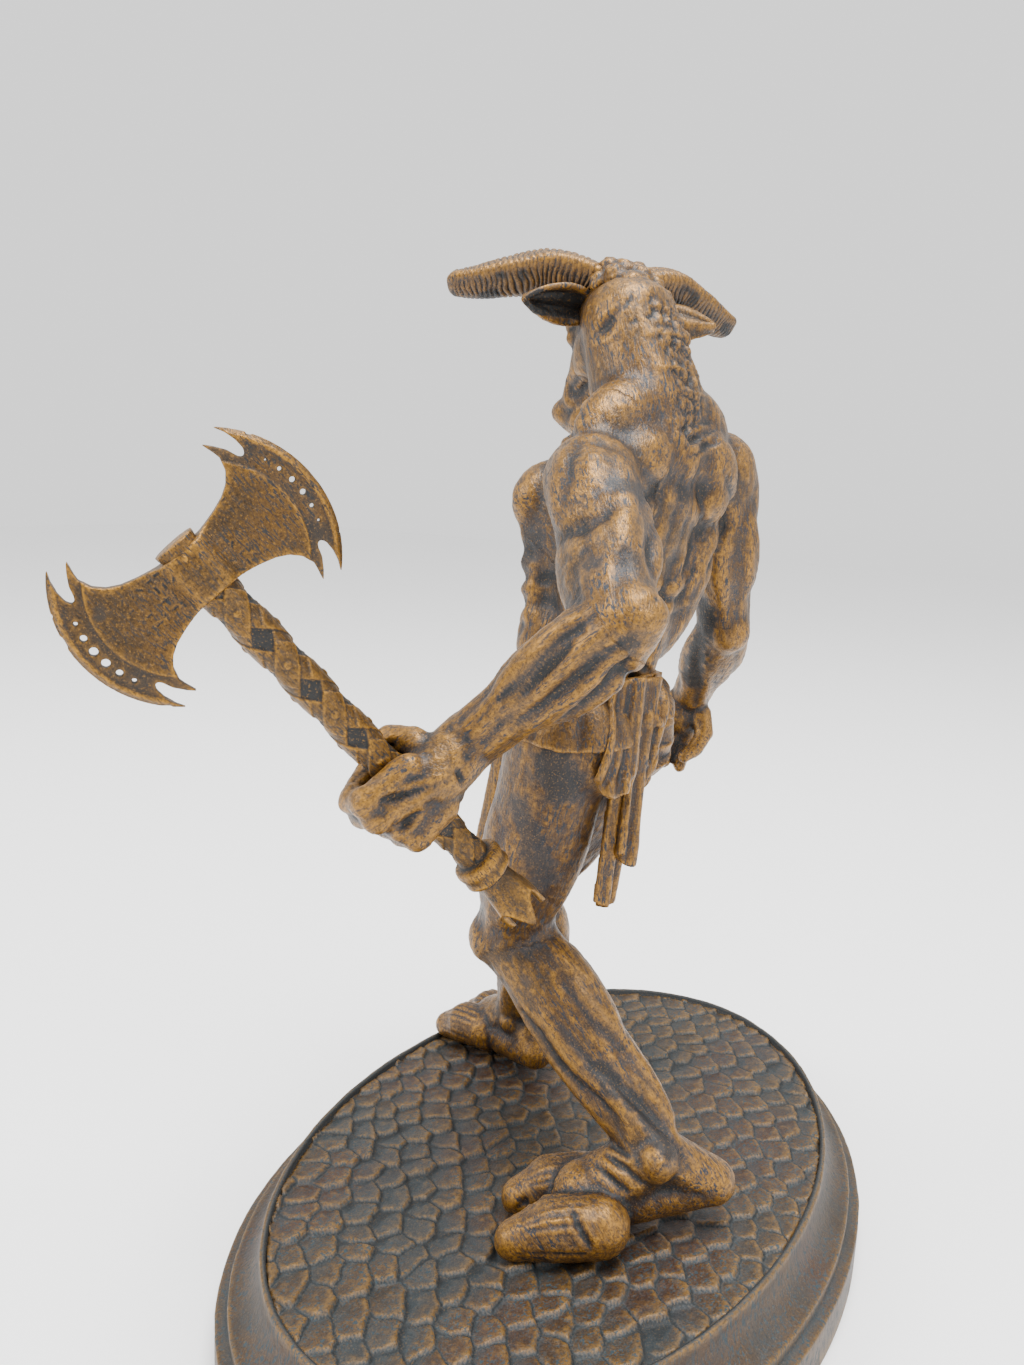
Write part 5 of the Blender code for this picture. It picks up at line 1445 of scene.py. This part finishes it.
def painted_resin(name, base, second, bright, warm, wash, deep, metallic, roughness, spacing):
    """Cast resin with a rubbed metallic paint over a dark wash that stays in the hollows and scratches, where
    painted shade darkens the broad hollows too.
    """
    paints = [linear(code) for code in (base, second, bright, warm, wash, deep)]
    base, second, bright, warm, wash, deep = paints
    material = bpy.data.materials.new(name)
    material.use_nodes = True
    tree = material.node_tree
    shader = tree.nodes["Principled BSDF"]
    settled_wash_and_shade, wear, tint = [node(tree, "Attribute", attribute_name=layer).outputs["Fac"]
                           for layer in ("wash", "wear", "tint")]
    grain = node(tree, "Attribute", attribute_name="grain").outputs["Vector"]
    along = node(tree, "Mapping", {"Vector": grain, "Scale": (1.0, 1.0, GRAIN_STRETCH)}).outputs[0]
    streak = node(tree, "TexNoise", {"Vector": along, "Scale": 1.0 / spacing, "Detail": 3.0,
                                     "Distortion": 0.6}).outputs["Fac"]
    place = node(tree, "TexCoord").outputs["Object"]
    patterns = []
    for size, detail, crumb in ((DRIFT_SIZE, 3.0, 0.5), (BLOTCH_SIZE, 5.0, 0.65), (FLECK_SIZE, 2.0, 0.5),
                                (GRIT_SIZE, 3.0, 0.7)):
        patterns.append(node(tree, "TexNoise", {"Vector": place, "Scale": 1.0 / (size * MM), "Detail": detail,
                                                "Roughness": crumb}).outputs["Fac"])
    drift, blotch, fleck, grit = patterns
    shares = []
    for value, low, high, least, most in ((drift, 0.4, 0.62, 0.0, 1.0), (streak, 0.5, 0.38, 0.0, 1.0),
                                          (fleck, 0.3, 0.7, 0.35, 0.9), (drift, 0.62, 0.42, 0.45, 1.0),
                                          (blotch, 0.58, 0.7, 0.0, 0.55), (settled_wash_and_shade, 0.55, 1.0, 0.0, 0.9),
                                          (grit, 0.47, 0.36, 0.0, 0.6), (grit, 0.56, 0.68, 0.0, 0.4)):
        span = {"Value": value, "From Min": low, "From Max": high, "To Min": least, "To Max": most}
        shares.append(node(tree, "MapRange", span, interpolation_type="SMOOTHSTEP").outputs[0])
    second_tone, scratch, rubbed, scratched_place, pooled, deepest_wash_and_shade, pit, spark = shares
    worn = node(tree, "Math", {0: wear, 1: rubbed}, operation="MULTIPLY").outputs[0]
    hatched = node(tree, "Math", {0: scratch, 1: scratched_place}, operation="MULTIPLY").outputs[0]
    # The dark of the hollows, from the wash layer, is wash and, in broad hollows, painted shade
    dark = node(tree, "Math", {0: settled_wash_and_shade, 1: hatched}, operation="MAXIMUM").outputs[0]
    dark = node(tree, "Math", {0: dark, 1: pooled}, operation="MAXIMUM").outputs[0]
    colour = base
    for share, paint in ((second_tone, second), (tint, warm), (worn, bright), (dark, wash), (deepest_wash_and_shade, deep),
                         (pit, deep), (spark, bright)):
        colour = node(tree, "Mix", {0: share, 6: colour, 7: paint}, data_type="RGBA").outputs[2]
    tree.links.new(colour, shader.inputs["Base Color"])
    dull = node(tree, "MapRange", {"Value": dark, "To Min": roughness, "To Max": min(roughness + 0.2, 1.0)})
    tree.links.new(dull.outputs[0], shader.inputs["Roughness"])
    shine = node(tree, "MapRange", {"Value": dark, "To Min": metallic, "To Max": metallic * 0.25})
    tree.links.new(shine.outputs[0], shader.inputs["Metallic"])
    bump = node(tree, "Bump", {"Height": streak, "Strength": 0.7, "Distance": SCRATCH_DEPTH * MM})
    finer = node(tree, "Bump", {"Height": fleck, "Strength": 0.4, "Distance": FLECK_DEPTH * MM,
                                "Normal": bump.outputs[0]})
    tree.links.new(finer.outputs[0], shader.inputs["Normal"])
    return material


# Bronze paint rubbed over blue-black: warm highlights, taupe sheen and a cold dark in the hollows that is wash
# and painted shade
BRONZE = painted_resin("rubbed_bronze_paint", "#452F14", "#372919", "#966A22", "#2C190B", "#101B26", "#020303",
                       0.5, 0.4, 0.62)
# The axe has a yellower bronze, a little brighter on its edges
GILT = painted_resin("gilt_bronze_paint", "#523811", "#3C2A10", "#9E7022", "#3A230D", "#0E1215", "#020303",
                     0.6, 0.4, 0.45)
# The stones are brown with red-brown tops, and a blue-green wash lies in their joints
STONE = painted_resin("brown_stone_paint", "#3C2B18", "#302314", "#6E5020", "#381E11", "#1A2E36", "#06090A",
                      0.3, 0.5, 0.85)


# The studio, in metres and watts

FLOOR_REACH = 3.0
FLOOR_COLOUR = "#F9F9F9"
FLOOR_ROUGHNESS = 0.9
ROOM_COLOUR = "#FFFFFF"
ROOM_LIGHT = 1.35
LIT_POINT = Vector((0.0, 0.0, 0.15))
# Each light's name, place, size and power
LIGHTS = (("top_light", (0.1, 0.2, 1.3), 0.8, 34.0), ("left_light", (0.9, -0.9, 0.9), 0.6, 14.0),
          ("right_light", (0.1, 1.3, 0.7), 0.7, 7.0))


def studio():
    """A pale floor, a white room and three soft round lights."""
    bm = bmesh.new()
    bmesh.ops.create_grid(bm, x_segments=1, y_segments=1, size=FLOOR_REACH)
    floor = bpy.data.objects.new("floor", new_mesh("floor", bm))
    bpy.context.scene.collection.objects.link(floor)
    pale = bpy.data.materials.new("pale_floor")
    pale.use_nodes = True
    paint = pale.node_tree.nodes["Principled BSDF"]
    paint.inputs["Base Color"].default_value = linear(FLOOR_COLOUR)
    paint.inputs["Roughness"].default_value = FLOOR_ROUGHNESS
    floor.data.materials.append(pale)
    world = bpy.data.worlds.new("white_room")
    world.use_nodes = True
    room = world.node_tree.nodes["Background"]
    room.inputs["Color"].default_value = linear(ROOM_COLOUR)
    room.inputs["Strength"].default_value = ROOM_LIGHT
    bpy.context.scene.world = world
    for name, place, size, power in LIGHTS:
        data = bpy.data.lights.new(name, "AREA")
        data.shape = "DISK"
        data.size = size
        data.energy = power
        light = bpy.data.objects.new(name, data)
        light.location = place
        light.rotation_euler = (LIT_POINT - Vector(place)).to_track_quat("-Z", "Y").to_euler()
        bpy.context.scene.collection.objects.link(light)


plinth_base()
paving()
upper_body()
loincloth(legs())
horn(1)
horn(-1)
ear(1)
ear(-1)
hair()
haft()
blade()
studio()
